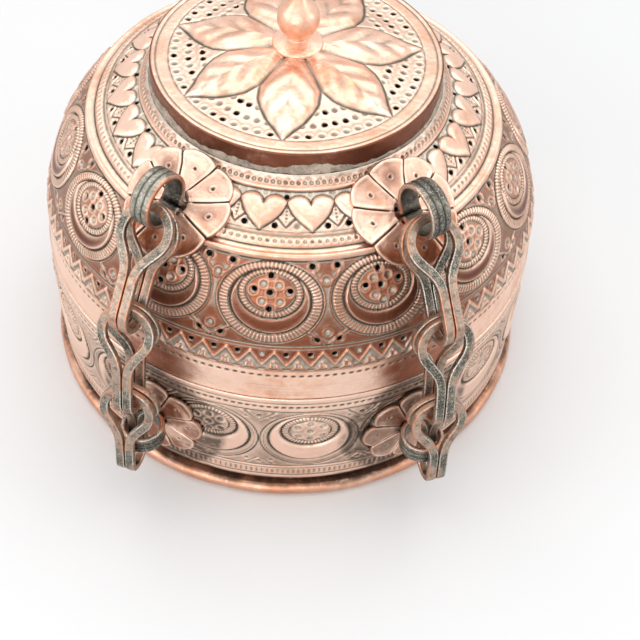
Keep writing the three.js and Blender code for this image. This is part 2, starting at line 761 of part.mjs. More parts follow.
addPiece('base_wall', cut(baseWall(), shankHoles(baseAzimuth, baseStapleFoot, at(1, 0))), COPPER);
addPiece('base_floor', baseFloor(), COPPER);
addPiece('foot_ring', footRing(), COPPER);
addPiece('lid_collar', lidCollar(), INSIDE);
addPiece('tray_ledge', trayLedge(), INSIDE);
addPiece('lid_dome', cut(lidDome(), shankHoles(LID_AZIMUTH, lidStapleFoot, lidShank)), COPPER);
addPiece('lid_top_plate', lidTopPlate(), COPPER);
addPiece('finial', finial(), COPPER);
addPiece('finial_washer', rivetWasher(finialFoot, LIGHT_SHEET), TINNED);
for (const [name, side] of [['left', -1], ['right', 1]]) {
  addLidStaple(name, side);
  addBaseStaple(name, side);
  addLinks(name, side);
}
addPiece('tray', tray(), INSIDE);
addPiece('tray_knob', trayKnob(), INSIDE);
addPiece('tray_knob_washer', rivetWasher(trayTop, LIGHT_SHEET), INSIDE);
for (let i = 0; i < CUP_COUNT; i += 1) {
  addPiece(`cup_${i + 1}`, cup(), INSIDE).position.copy(cupPlace(i));
}

export default part;
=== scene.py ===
import math

import bpy
import numpy as np
from mathutils import Matrix, Vector

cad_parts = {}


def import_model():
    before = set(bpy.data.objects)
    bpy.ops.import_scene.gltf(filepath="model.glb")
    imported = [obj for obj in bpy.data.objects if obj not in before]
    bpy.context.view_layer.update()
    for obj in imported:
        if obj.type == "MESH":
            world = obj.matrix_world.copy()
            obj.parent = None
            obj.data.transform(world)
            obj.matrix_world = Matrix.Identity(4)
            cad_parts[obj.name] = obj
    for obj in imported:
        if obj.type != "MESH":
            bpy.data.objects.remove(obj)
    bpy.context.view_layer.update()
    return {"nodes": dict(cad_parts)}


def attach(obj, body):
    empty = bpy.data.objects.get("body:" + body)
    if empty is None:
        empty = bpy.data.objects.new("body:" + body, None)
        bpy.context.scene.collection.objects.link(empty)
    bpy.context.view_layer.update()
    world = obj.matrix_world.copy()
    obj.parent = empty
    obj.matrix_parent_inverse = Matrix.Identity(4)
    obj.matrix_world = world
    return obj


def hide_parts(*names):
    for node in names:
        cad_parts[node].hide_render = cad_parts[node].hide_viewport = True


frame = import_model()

# Sizes in millimetres, as in the solids
MM = 0.001
EDGE_RADIUS = 115.0
EDGE_HEIGHT = 74.0
SHEET = 1.6
LIGHT_SHEET = 1.2
GAP = 0.3
SHANK_RADIUS = 3.0  # rivets of the finial and the tray's knob
RIVET_HOLE = SHANK_RADIUS + GAP
WALL_RADIUS = 115.8
GROOVE_DEPTH = 2.4
GROOVE_HEIGHT = 2.8
FOOT_HEIGHT = 7.0
LID_AZIMUTH = math.radians(34)  # lid staples, either side of the back
HOLE_RADIUS = 1.15  # punched holes of the lid
LID_COLUMNS = 1400
PLATE_COLUMNS = 700
BASE_COLUMNS = 1120
ROW_STEP = 0.5

# Counts and places of the chased motifs, from the photograph
MEDALLIONS = 14
MEDALLION_PHASE = math.radians(-3.9)
HEARTS = 24
HEART_PHASE = math.radians(6.2)
ZIGZAGS = 70
ZIGZAG_PHASE = math.radians(-2.4)
BASE_MEDALLIONS = 16
BASE_PHASE = math.radians(6.0)
PETALS = 7
PETAL_PHASE = math.radians(-4.9)


# Small numeric helpers

def smooth(low, high, x):
    t = np.clip((x - low) / (high - low), 0, 1)
    return t * t * (3 - 2 * t)


def hump(x, centre, width):
    return np.exp(-((x - centre) / width) ** 2)


def wrap(azimuth, count, phase):
    """Angle from the middle of the nearest of count motifs round the axis."""
    pitch = 2 * math.pi / count
    return (azimuth - phase + pitch / 2) % pitch - pitch / 2


def ellipse(s, v, middle, half_width, half_height):
    """Distance in from the edge of an ellipse, near enough for a border."""
    q = np.sqrt((s / half_width) ** 2 + ((v - middle) / half_height) ** 2) + 1e-6
    slope = np.sqrt((s / half_width ** 2) ** 2 + ((v - middle) / half_height ** 2) ** 2) / q
    return (1 - q) / np.maximum(slope, 1 / (half_width + half_height))


def milling(s, v, middle, outer, inner, count):
    """Teeth across an oval ring between two ovals of (half width, half height)."""
    half_width = (outer[0] + inner[0]) / 2
    half_height = (outer[1] + inner[1]) / 2
    across = s / half_width
    rise = (v - middle) / half_height
    distance = np.hypot(across, rise)
    low, high = inner[0] / half_width, outer[0] / half_width
    mask = smooth(low - 0.02, low + 0.03, distance) * (1 - smooth(high - 0.03, high + 0.02, distance))
    return mask * np.sin(count * np.arctan2(rise, across))


def dimple(s, v, place, radius, depth):
    """Punched dot: a round pit inside a low raised lip."""
    d = np.hypot(s - place[0], v - place[1]) / radius
    return depth * (0.45 * hump(d, 1.25, 0.3) - 1 + smooth(0.35, 1.05, d))


def pit(s, v, place, radius):
    """Share of a punched dot's floor."""
    return 1 - smooth(0.45, 0.85, np.hypot(s - place[0], v - place[1]) / radius)


def blur(field, rows, columns):
    """Box blur, twice, that closes round the columns."""
    for _ in range(2):
        total = field.copy()
        for k in range(1, columns + 1):
            total += np.roll(field, k, 1) + np.roll(field, -k, 1)
        field = total / (2 * columns + 1)
        padded = np.pad(field, ((rows, rows), (0, 0)), mode="edge")
        sums = np.cumsum(np.vstack([np.zeros((1, field.shape[1])), padded]), axis=0)
        width = 2 * rows + 1
        field = (sums[width:] - sums[:-width]) / width
    return field


def waviness(azimuth, v, height):
    """Slow unevenness of hand-raised sheet."""
    total = 0
    for turns, length, shift in ((3, 61, 0.4), (7, 37, 1.9), (13, 23, 4.1), (22, 15, 2.7)):
        total = total + np.sin(turns * azimuth + 2 * math.pi * v / length + shift)
    return height * total / 4


# Outlines as lines of points, with distance along, place and outward normal

class Outline:
    def __init__(self, points, soften=0.5):
        points = np.array(points, float)
        steps = np.hypot(*np.diff(points, axis=0).T)
        self.corners = np.concatenate([[0], np.cumsum(steps)])
        self.length = self.corners[-1]
        fine = np.arange(0, self.length, 0.05)
        r = np.interp(fine, self.corners, points[:, 0])
        z = np.interp(fine, self.corners, points[:, 1])
        reach = max(int(soften / 0.05), 1)
        kernel = np.hanning(2 * reach + 3)
        kernel /= kernel.sum()
        self.v = fine
        self.r = self.soften(r, kernel, reach + 1)
        self.z = self.soften(z, kernel, reach + 1)
        dr, dz = np.gradient(self.r), np.gradient(self.z)
        size = np.hypot(dr, dz)
        self.nr, self.nz = dz / size, -dr / size

    @staticmethod
    def soften(values, kernel, reach):
        """Rounds the corners and keeps both ends where they are."""
        padded = np.pad(values, reach, mode="reflect", reflect_type="odd")
        return np.convolve(padded, kernel, mode="valid")

    def at(self, v):
        return tuple(np.interp(v, self.v, line) for line in (self.r, self.z, self.nr, self.nz))


def place_points(outline, azimuth, v, lift):
    r, z, nr, nz = outline.at(v)
    r = r + nr * lift
    z = z + nz * lift
    return np.stack([r * np.sin(azimuth), -r * np.cos(azimuth), z], axis=-1)


# Meshes

def make_mesh(name, points, faces, attributes=None):
    """Object from points in millimetres and groups of faces with as many corners each."""
    used = np.unique(np.concatenate([group.ravel() for group in faces]))
    renumber = np.full(len(points), -1)
    renumber[used] = np.arange(len(used))
    loops = np.concatenate([renumber[group].ravel() for group in faces])
    sizes = np.concatenate([np.full(len(group), group.shape[1]) for group in faces])
    starts = np.concatenate([[0], np.cumsum(sizes)[:-1]])
    mesh = bpy.data.meshes.new(name)
    mesh.vertices.add(len(used))
    mesh.vertices.foreach_set("co", (points[used] * MM).astype(np.float32).ravel())
    mesh.loops.add(len(loops))
    mesh.loops.foreach_set("vertex_index", loops.astype(np.int32))
    mesh.polygons.add(len(sizes))
    mesh.polygons.foreach_set("loop_start", starts.astype(np.int32))
    mesh.polygons.foreach_set("use_smooth", np.ones(len(sizes), bool))
    mesh.update(calc_edges=True)
    mesh.validate()
    for label, values in (attributes or {}).items():
        layer = mesh.attributes.new(label, "FLOAT", "POINT")
        layer.data.foreach_set("value", values[used].astype(np.float32))
    piece = bpy.data.objects.new(name, mesh)
    bpy.context.scene.collection.objects.link(piece)
    return piece


def grid_faces(rows, columns, start=0, flip=False, keep=None):
    """Quads of a grid that closes round its columns."""
    row, column = np.meshgrid(np.arange(rows - 1), np.arange(columns), indexing="ij")
    after = (column + 1) % columns
    corners = [row * columns + column, row * columns + after,
               (row + 1) * columns + after, (row + 1) * columns + column]
    quads = np.stack(corners, axis=-1)
    if keep is not None:
        quads = quads[keep]
    quads = quads.reshape(-1, 4) + start
    return quads[:, ::-1] if flip else quads


RING = ([(-2, k) for k in range(-2, 2)] + [(k, 2) for k in range(-2, 2)]
        + [(2, -k) for k in range(-2, 2)] + [(-k, -2) for k in range(-2, 2)])


def open_faces(keep, row, column, reach):
    """Takes out the faces that meet round a grid point, out to a reach."""
    for a in range(row - reach, row + reach):
        for b in range(column - reach, column + reach):
            keep[a, b % keep.shape[1]] = False


def punch(holes, outline, v, azimuth, keep_outer, keep_inner):
    """Opens the grid at each hole and bends the 16 points round it into a circle."""
    rows, columns = v.shape
    v_line, turn = v[:, 0].copy(), azimuth[0].copy()
    rings = []
    for hole_azimuth, hole_v in holes:
        row = 2 * int(round(hole_v / v_line[-1] * (rows - 1) / 2))
        column = 2 * int(round(hole_azimuth / (2 * math.pi) * columns / 2)) % columns
        if row < 4 or row > rows - 5:
            continue
        around = [(row + a, (column + b) % columns) for a, b in RING]
        if not all(keep_outer[a - (a == row + 2), b - (b == (column + 2) % columns)]
                   for a, b in around):
            continue
        radius = outline.at(v_line[row])[0]
        for k, (a, b) in enumerate(around):
            angle = 2 * math.pi * (k - 2) / 16 - math.pi / 2
            v[a, b] = v_line[row] + HOLE_RADIUS * math.sin(angle)
            azimuth[a, b] = turn[column] + HOLE_RADIUS * math.cos(angle) / radius
        open_faces(keep_outer, row, column, 2)
        open_faces(keep_inner, row // 2, column // 2, 1)
        rings.append(around)
    return rings


def shell_faces(rows, columns, keep_outer, keep_inner, rings):
    """Outer and inner face, the two rims and the walls of the holes."""
    start = rows * columns
    half = columns // 2

    def outer(a, b):
        return a * columns + b % columns

    def inner(a, b):
        return start + (a // 2) * half + (b // 2) % half

    def rim(row):
        k = np.arange(half) * 2
        return np.stack([outer(row, k), outer(row, k + 1), outer(row, k + 2),
                         inner(row, k + 2), inner(row, k)], axis=-1)

    faces = [grid_faces(rows, columns, keep=keep_outer),
             grid_faces(rows // 2 + 1, half, start, flip=True, keep=keep_inner),
             rim(0)[:, ::-1], rim(rows - 1)]
    walls = []
    for around in rings:
        for j in range(0, 16, 2):
            a, b, c = around[j], around[j + 1], around[(j + 2) % 16]
            walls.append([outer(*a), outer(*b), outer(*c), inner(*c), inner(*a)])
    if walls:
        faces.append(np.array(walls))
    return faces


def shell_looks(v, height, tone, fill):
    """What the materials read at each point of the outer face and then of the inner one."""
    lining = v[::2, ::2].ravel()

    def outer_only(values):
        return np.concatenate([values.ravel(), np.zeros(lining.size)])

    near = blur(height, 2, 3)
    far = blur(height, 6, 9)
    return {
        "recess": outer_only(np.clip((near - height) * 1.7 + (far - height) * 0.5, 0, 1)),
        "crest": outer_only(np.clip((height - near) * 2.4 + (height - far) * 0.1, 0, 1)),
        "rise": np.concatenate([v.ravel(), lining]),
        "tone": outer_only(tone),
        "fill": outer_only(fill),
        "inside": np.concatenate([np.zeros(v.size), np.ones(lining.size)]),
    }


def relief_shell(name, outline, columns, relief, sheet, holes=(), inner_share=0.6):
    """Sheet of metal with chased relief and real punched holes, open at both ends.

    The inner face has half the rows and columns of the outer face. Holes are (azimuth, v)
    pairs, moved to the nearest point that both faces have.
    """
    rows = 2 * int(outline.length / ROW_STEP / 2) + 1
    v_line = np.linspace(0, outline.length - 0.06, rows)
    turn = 2 * math.pi * np.arange(columns) / columns
    v, azimuth = np.meshgrid(v_line, turn, indexing="ij")
    keep_outer = np.ones((rows - 1, columns), bool)
    keep_inner = np.ones((rows // 2, columns // 2), bool)
    rings = punch(holes, outline, v, azimuth, keep_outer, keep_inner)
    height, tone, fill = relief(azimuth, v)
    outer = place_points(outline, azimuth, v, height)
    soft = blur(height, 2, 2)
    inner = place_points(outline, azimuth, v, -sheet + inner_share * (soft - soft.mean()))
    points = np.concatenate([outer.reshape(-1, 3), inner[::2, ::2].reshape(-1, 3)])
    faces = shell_faces(rows, columns, keep_outer, keep_inner, rings)
    return make_mesh(name, points, faces, shell_looks(v, height, tone, fill))


def round_corners(points, radius, steps=4):
    """Closed outline with each corner replaced by a small arc, where there is room."""
    points = [Vector(p) for p in points]
    result = []
    count = len(points)
    for i, corner in enumerate(points):
        before = points[i - 1] - corner
        after = points[(i + 1) % count] - corner
        if corner.x < 1e-6 or before.length < 1e-6 or after.length < 1e-6:
            result.append(corner)
            continue
        half = before.angle(after, math.pi) / 2
        if half > math.radians(82):
            result.append(corner)
            continue
        room = min(before.length, after.length) * 0.45
        cut = min(radius / math.tan(half), room)
        a = corner + before.normalized() * cut
        b = corner + after.normalized() * cut
        for k in range(steps + 1):
            t = k / steps
            result.append(a * (1 - t) ** 2 + corner * (2 * t * (1 - t)) + b * t * t)
    return [(p.x, p.y) for p in result]


def lathe(name, points, steps=192, radius=0.4, centre=(0, 0), wave=None):
    """Turned piece from a closed outline, or from one that starts and ends on the axis.

    The outline runs anticlockwise with the axis on its left side: up along the outside.
    """
    solid = points[0][0] < 1e-6 and points[-1][0] < 1e-6
    outline = round_corners(points, radius)
    line = np.array(outline)
    turn = 2 * math.pi * np.arange(steps) / steps
    ring = np.stack([np.sin(turn), -np.cos(turn)], axis=-1)
    r, angle = np.meshgrid(line[:, 0], turn, indexing="ij")
    z = np.repeat(line[:, 1:2], steps, axis=1)
    if wave is not None:
        r, z = wave(r, z, angle)
    grid = np.stack([r * ring[:, 0] + centre[0], r * ring[:, 1] + centre[1], z], axis=-1)
    rows = len(line)
    if not solid:
        grid = np.concatenate([grid, grid[:1]])
        faces = [grid_faces(rows + 1, steps) % (rows * steps)]
        return make_mesh(name, grid[:-1].reshape(-1, 3), faces)
    inner = grid[1:-1].reshape(-1, 3)
    ends = np.array([grid[0, 0], grid[-1, 0]])
    ends[:, 0], ends[:, 1] = centre
    low, high = len(inner), len(inner) + 1
    k = np.arange(steps)
    after = (k + 1) % steps
    top = (rows - 3) * steps
    fans = np.concatenate([
        np.stack([np.full(steps, low), after, k], axis=-1),
        np.stack([np.full(steps, high), top + k, top + after], axis=-1)])
    return make_mesh(name, np.concatenate([inner, ends]), [grid_faces(rows - 2, steps), fans])


# Lid outline, from its lower edge to the mouth under the top plate

BAND_TOP = (EDGE_RADIUS - 0.5, EDGE_HEIGHT + 18.6)
ZIGZAG_TOP = (BAND_TOP[0] - 3.2, BAND_TOP[1] + 11.2)
RIDGE_FOOT = (ZIGZAG_TOP[0] - 18.5, ZIGZAG_TOP[1] + 32.6)
HEART_RUN = 20.8
HEART_RISE = 12.2
HEART_SLOPE = Vector((-HEART_RUN, HEART_RISE)).normalized()
HEART_NORMAL = Vector((HEART_SLOPE.y, -HEART_SLOPE.x))
RIDGE_HEAD = tuple(Vector(RIDGE_FOOT) + HEART_SLOPE * 3.8)
RIDGE_CREST = tuple((Vector(RIDGE_FOOT) + Vector(RIDGE_HEAD)) / 2 + HEART_NORMAL * 1.2)
HEART_TOP = (RIDGE_HEAD[0] - HEART_RUN, RIDGE_HEAD[1] + HEART_RISE)
NECK_TOP = (HEART_TOP[0] - 5.0, HEART_TOP[1] + 5.6)
MEDALLION_BULGE = 2.6
MEDALLION_HEIGHT = 37.5  # of its band, as the motif is drawn
HEART_HEIGHT = 24.1      # the same for the heart band


def medallion_point(share):
    chord = Vector(RIDGE_FOOT) - Vector(ZIGZAG_TOP)
    normal = Vector((chord.y, -chord.x)).normalized()
    bulge = MEDALLION_BULGE * 4 * share * (1 - share)
    return tuple(Vector(ZIGZAG_TOP) + chord * share + normal * bulge)


MEDALLION_SHARES = [k / 8 for k in range(1, 8)]
lid_line = Outline([(EDGE_RADIUS, EDGE_HEIGHT), BAND_TOP, ZIGZAG_TOP,
                    *[medallion_point(share) for share in MEDALLION_SHARES],
                    RIDGE_FOOT, RIDGE_CREST, RIDGE_HEAD, HEART_TOP, NECK_TOP])
ZIGZAG_START = lid_line.corners[1]
MEDALLION_START = lid_line.corners[2]
RIDGE_START = lid_line.corners[-5]
HEART_START = lid_line.corners[-3]
NECK_START = lid_line.corners[-2]
MEDALLION_SCALE = MEDALLION_HEIGHT / (RIDGE_START - MEDALLION_START)


# Motifs of the lid. Each takes the azimuth and the distance up its own band.

# Milled rings: middle, outer and inner (half width, half height), number of teeth
MILLED_RING = (20.0, (20.5, 16.8), (16.8, 14.2), 72)
MILLED_DISC = (24.2, (12.7, 10.0), (10.2, 8.1), 46)
BASE_DISC = (23.6, (12.4, 9.9), (9.6, 7.7), 44)

FLOWER_HOLES = ((0, 24.5), (0, 31.6), (-7.0, 25.1), (7.3, 25.1), (0, 18.0))
FLOWER_DIMPLES = ((-3.1, 28.0), (3.1, 27.8), (-3.3, 20.8), (3.9, 21.0))
GAP_HOLES = ((-5.0, 35.3), (5.0, 35.3), (-4.8, 4.0), (4.8, 4.0))
GAP_DIMPLES = ((0, 29.6), (0, 7.2))
HEART_HOLES = ((-4.4, 10.3), (4.4, 10.3))
ZIGZAG_HOLE = (0, 8.2)


def medallion_radius(v):
    return np.interp(v, (0, MEDALLION_HEIGHT), (ZIGZAG_TOP[0], RIDGE_FOOT[0]))


def heart_radius(v):
    return np.interp(v, (0, HEART_HEIGHT), (RIDGE_HEAD[0], HEART_TOP[0]))


def dashes(azimuth, v, count, radius, middle, half_length, edge):
    """Row of short cuts round the box."""
    s = wrap(azimuth, count, 0) * radius
    away = np.hypot(np.maximum(np.abs(s) - half_length, 0), v - middle)
    return 0.55 * (1 - smooth(0.3, edge, away))


def band_relief(azimuth, v):
    """Upright band: a row of dashes above fine lines."""
    height = -dashes(azimuth, v, 205, EDGE_RADIUS, 15, 0.45, 0.85)
    for line in (2.7, 4.2, 6.6, 8.5):
        height -= 0.09 * hump(v, line, 0.3)
    height -= 0.35 * hump(v, 18.3, 0.45)
    return height + 0.18 * hump(v, 0.6, 0.6), 0 * v, 0 * v


def zigzag_relief(azimuth, v):
    pitch = 2 * math.pi / ZIGZAGS
    radius = BAND_TOP[0]
    local = wrap(azimuth, ZIGZAGS, ZIGZAG_PHASE)
    share = np.abs(local) / (pitch / 2)
    crest = 9.3 - 6.6 * share
    away = (v - crest) * 0.62
    height = 0.6 * hump(away, 0.1, 0.45)
    triangle = smooth(-3.0, -2.5, away) * (1 - smooth(-0.9, -0.4, away))
    height += 0.4 * hump(away, -3.2, 0.5) - 0.4 * triangle
    below = dimple(local * radius, v, (0, 3.0), 1.3, 0.6)
    above = wrap(azimuth, ZIGZAGS, ZIGZAG_PHASE + pitch / 2) * radius
    height += below + dimple(above, v, ZIGZAG_HOLE, 1.4, 0.5)
    height -= 0.5 * hump(v, 0.5, 0.45) + 0.45 * hump(v, 11.0, 0.4)
    tone = 0.85 * smooth(0.5, 1.2, away) + 0.5 * triangle
    floors = pit(local * radius, v, (0, 3.0), 1.3) + pit(above, v, ZIGZAG_HOLE, 1.4)
    return height, tone, floors + 0.4 * triangle


def medallion_relief(azimuth, v):
    radius = medallion_radius(v)
    s = wrap(azimuth, MEDALLIONS, MEDALLION_PHASE) * radius
    rim = ellipse(s, v, 19.7, 20.7, 17.0)
    bed = ellipse(s, v, 20.4, 16.6, 14.0)
    disc = ellipse(s, v, 24.0, 12.9, 10.2)
    field = ellipse(s, v, 24.4, 10.1, 8.0)
    milled = smooth(0.0, 0.4, rim) * (1 - smooth(-0.4, 0.0, bed))
    height = 0.45 * milled - 0.5 * hump(rim, -0.4, 0.4) - 0.6 * hump(bed, 0.3, 0.4)
    height += 0.28 * milling(s, v, *MILLED_RING)
    thick = np.minimum(bed - 0.5, -disc)
    body = smooth(0.1, 1.2, thick)
    height += body * (0.7 + 0.5 * hump(bed, 1.1, 0.5) + 0.3 * hump(disc, -0.6, 0.4))
    inner = smooth(0.0, 0.4, disc) * (1 - smooth(-0.4, 0.0, field))
    height += 0.3 * inner - 0.6 * hump(disc, -0.1, 0.35)
    height += 0.26 * milling(s, v, *MILLED_DISC)
    height += 0.3 * smooth(0.1, 2.2, field) - 0.4 * hump(field, 0, 0.3)
    for place in FLOWER_HOLES:
        height += dimple(s, v, place, 1.75, 0.55)
    fill = 0 * v
    for place in FLOWER_DIMPLES + FLOWER_HOLES:
        fill += pit(s, v, place, 1.6)
    for place in FLOWER_DIMPLES:
        height += dimple(s, v, place, 1.5, 0.7)
    half = math.pi / MEDALLIONS
    gap = wrap(azimuth, MEDALLIONS, MEDALLION_PHASE + half) * radius
    outside = 1 - smooth(-0.9, -0.3, rim)
    for place in GAP_HOLES:
        height += dimple(gap, v, place, 1.8, 0.5) * outside
    for place in GAP_DIMPLES:
        height += dimple(gap, v, place, 1.7, 0.75) * outside
        fill += pit(gap, v, place, 1.7) * outside
    vee = np.abs(np.abs(gap) * 0.75 - (v - 1.9))
    height += (0.55 * hump(vee, 0, 0.5) - 0.35 * hump(vee, 1.1, 0.45)) * (v < 7.8) * outside
    arch = 0.4 * hump(np.hypot(gap, v - 34.5), 5.2, 0.5) * (v < 34)
    height += arch * outside - 0.3 * smooth(0.6, 2.0, -rim) * outside
    tone = 0.8 * outside + 1.0 * body * (1 - hump(bed, 0.9, 0.5)) + 0.72 * smooth(0, 0.5, field)
    height -= 0.45 * hump(v, 0.9, 0.4) + 0.4 * hump(v, 37.3, 0.4)
    return height, tone, fill


def heart_relief(azimuth, v):
    radius = heart_radius(v)
    s = wrap(azimuth, HEARTS, HEART_PHASE) * radius
    reach = radius * math.pi / HEARTS
    side = np.abs(s) / reach
    lower = 8.3 + 8.3 * side + 3.2 * side ** 5
    upper = 18.9 + 4.1 * np.sqrt(np.clip(1 - ((side - 0.5) / 0.53) ** 2, 0, 1))
    heart = np.minimum((v - lower) * 0.75, np.minimum(upper - v, (1.0 - side) * reach))
    height = 1.1 * np.sin(math.pi / 2 * np.clip(heart / 3.4, 0, 1))
    height += 0.25 * smooth(0.0, 0.5, heart)
    height -= 0.3 * hump(heart, -0.4, 0.38)
    height -= 0.4 * hump(side, 0, 0.12) * smooth(16.5, 20.5, v) * (heart > 0)
    half = math.pi / HEARTS
    gap = wrap(azimuth, HEARTS, HEART_PHASE + half) * radius
    clear = 1 - smooth(-0.8, -0.2, heart)
    for k in range(5):
        height += dimple(gap, v, (0, 12.0 + 1.5 * k), 0.75, 0.4) * clear
    vee = np.abs(np.abs(gap) * 1.0 - (v - 9.9)) * 0.7
    height -= 0.6 * hump(vee, 0, 0.45) * (v < 14.0) * (v > 9.4) * clear
    height += 0.35 * hump(vee, 1.0, 0.45) * (v < 14.4) * (v > 9.4) * clear
    for place in (*HEART_HOLES, (0, 23.4)):
        height += dimple(gap, v, place, 1.7, 0.4) * clear
    height += dimple(s, v, (0, 23.6), 1.1, 0.5)
    height -= 0.45 * smooth(19.5, 21.0, v) * clear
    for line in (6.7, 7.8):
        height -= 0.5 * hump(v, line, 0.3)
    dots = wrap(azimuth, 180, 0) * radius
    height += 0.45 * hump(v, 4.1, 1.6) + dimple(dots, v, (0, 4.1), 1.0, 0.7)
    height -= 0.5 * hump(v, 1.4, 0.45) + 0.3 * hump(v, 6.0, 0.3)
    tone = 0.15 * clear * (v > 8.2) + 0.4 * hump(v, 2.4, 1.5)
    ground = clear * (0.35 * (v > 8.2) + 0.65 * smooth(18.5, 20.5, v))
    return height, tone, pit(dots, v, (0, 4.1), 1.0) + ground


def neck_relief(azimuth, v):
    radius = NECK_TOP[0] + 2
    rings = wrap(azimuth, 160, 0) * radius
    height = dimple(rings, v, (0, 4.0), 1.0, 0.6)
    height += 0.55 * hump(v, 1.6, 0.6) - 0.6 * hump(v, 0.4, 0.4)
    solder = np.sin(31 * azimuth + 1.3) + np.sin(53 * azimuth) + np.sin(97 * azimuth + 0.4)
    crust = smooth(5.2, 6.4, v + 0.35 * solder)
    return height + 0.35 * crust, 0.3 + 0 * v, np.maximum(crust, pit(rings, v, (0, 4.0), 1.0))


def lid_relief(azimuth, v):
    height = waviness(azimuth, v, 0.16)
    tone, fill = 0 * v, 0 * v
    bands = ((0, ZIGZAG_START, band_relief, 1), (ZIGZAG_START, MEDALLION_START, zigzag_relief, 1),
             (MEDALLION_START, RIDGE_START, medallion_relief, MEDALLION_SCALE),
             (HEART_START, NECK_START, heart_relief, 1), (NECK_START, lid_line.length, neck_relief, 1))
    for start, end, motif, scale in bands:
        inside = (v >= start) & (v < end)
        parts = motif(azimuth[inside], (v[inside] - start) * scale)
        height[inside] += parts[0]
        tone[inside], fill[inside] = parts[1:]
    ridge = (v - RIDGE_START) / (HEART_START - RIDGE_START)
    return height + 0.35 * hump(ridge, 0.5, 0.22), tone, fill


def lid_holes():
    holes = []
    chance = np.random.default_rng(5)

    def add(count, phase, start, scale, radius_at, places, share):
        for k in range(count):
            for s, v in places:
                if chance.random() > share:
                    continue
                azimuth = phase + 2 * math.pi * k / count + s / radius_at(v)
                holes.append((azimuth % (2 * math.pi), start + v / scale))

    half = math.pi / MEDALLIONS
    add(MEDALLIONS, MEDALLION_PHASE, MEDALLION_START, MEDALLION_SCALE, medallion_radius,
        FLOWER_HOLES, 0.86)
    add(MEDALLIONS, MEDALLION_PHASE + half, MEDALLION_START, MEDALLION_SCALE, medallion_radius,
        GAP_HOLES, 0.9)
    add(HEARTS, HEART_PHASE + math.pi / HEARTS, HEART_START, 1, heart_radius,
        HEART_HOLES, 0.95)
    add(HEARTS, HEART_PHASE + math.pi / HEARTS, HEART_START, 1, heart_radius, ((0, 22.6),), 0.5)
    add(ZIGZAGS, ZIGZAG_PHASE + math.pi / ZIGZAGS, ZIGZAG_START, 1, lambda v: EDGE_RADIUS,
        (ZIGZAG_HOLE,), 0.75)
    return holes


lid_dome = relief_shell("lid_dome_chased", lid_line, LID_COLUMNS, lid_relief, SHEET, lid_holes())

# Top plate: upright rim, flat border, ribbed petals and a field of dots between them

PLATE_RADIUS = NECK_TOP[0] - 0.8
PLATE_FOOT = NECK_TOP[1] + GAP
PLATE_TOP = PLATE_FOOT + 9.5
PETAL_REACH = PLATE_RADIUS - 16
FINIAL_SEAT = 12.0
FINIAL_FOOT = PLATE_TOP + 5
plate_line = Outline([(PLATE_RADIUS, PLATE_FOOT), (PLATE_RADIUS, PLATE_TOP),
                      (PETAL_REACH, PLATE_TOP), ((PETAL_REACH + FINIAL_SEAT) / 2, PLATE_TOP + 3.6),
                      (FINIAL_SEAT, FINIAL_FOOT), (RIVET_HOLE, FINIAL_FOOT)], soften=1.0)
RIM_END = plate_line.corners[1]
DOT_ROWS = ((52.4, 0.0), (46.3, 0.5), (40.2, 0.0))
DOTS_ROUND = 63


def petal_edge(azimuth, radius):
    """Distance in from the edge of the nearest petal."""
    s = np.abs(wrap(azimuth, PETALS, PETAL_PHASE)) * radius
    half = np.interp(radius, (12, 22, 30, 36, 40, 44.5, 49, 54.3),
                     (4.5, 9.3, 12.6, 12.4, 10.6, 7.6, 3.6, 0.0))
    return (half - s) * 0.8


def plate_relief(azimuth, v):
    radius = plate_line.at(v)[0]
    height = waviness(azimuth, v, 0.14)
    top = smooth(RIM_END + 0.5, RIM_END + 1.5, v)
    for line in (60.2, 54.9):
        height -= 0.4 * hump(radius, line, 0.35) * top
    height += 0.25 * hump(radius, 61.6, 0.7) * top
    petal = petal_edge(azimuth, radius) * (radius < 54.4) - (radius >= 54.4) * 2
    bulge = 1.5 * np.sin(math.pi / 2 * np.clip(petal / 4.5, 0, 1))
    local = wrap(azimuth, PETALS, PETAL_PHASE)
    ribs = np.cos(np.abs(local) * radius / 1.45 + (54 - radius) * 0.55)
    height += (bulge + 0.28 * ribs * smooth(0.6, 2.5, petal)) * top
    height -= 0.5 * hump(petal, -0.5, 0.45) * top * (radius < 54.6)
    clear = smooth(-0.8, -1.6, petal) * top
    for row, shift in DOT_ROWS:
        pitch = 2 * math.pi / DOTS_ROUND
        dots = wrap(azimuth, DOTS_ROUND, PETAL_PHASE + shift * pitch) * row
        height += dimple(dots, radius, (0, row), 1.55, 0.55) * clear
    ground = (0.35 + 0.65 * smooth(-0.6, -1.4, petal)) * top
    # tone: high on the upright rim, a painted dark reflection, and low on the top
    return height, 0.2 + 0.75 * (1 - top), 0.55 * ground * (radius < 54.6) * (petal < 0)


def plate_holes():
    chance = np.random.default_rng(9)
    holes = []
    for row, shift in DOT_ROWS:
        for k in range(DOTS_ROUND):
            azimuth = PETAL_PHASE + (k + shift) * 2 * math.pi / DOTS_ROUND
            away = petal_edge(np.array([azimuth]), np.array([row]))[0]
            share = 0.3 if row > 50 else 0.62
            if away < -1.9 and chance.random() < share:
                v = RIM_END + PLATE_RADIUS - row
                if row < PETAL_REACH:
                    v += 0.2
                holes.append((azimuth % (2 * math.pi), v))
    return holes


top_plate = relief_shell("lid_top_plate_chased", plate_line, PLATE_COLUMNS, plate_relief,
                         LIGHT_SHEET, plate_holes())


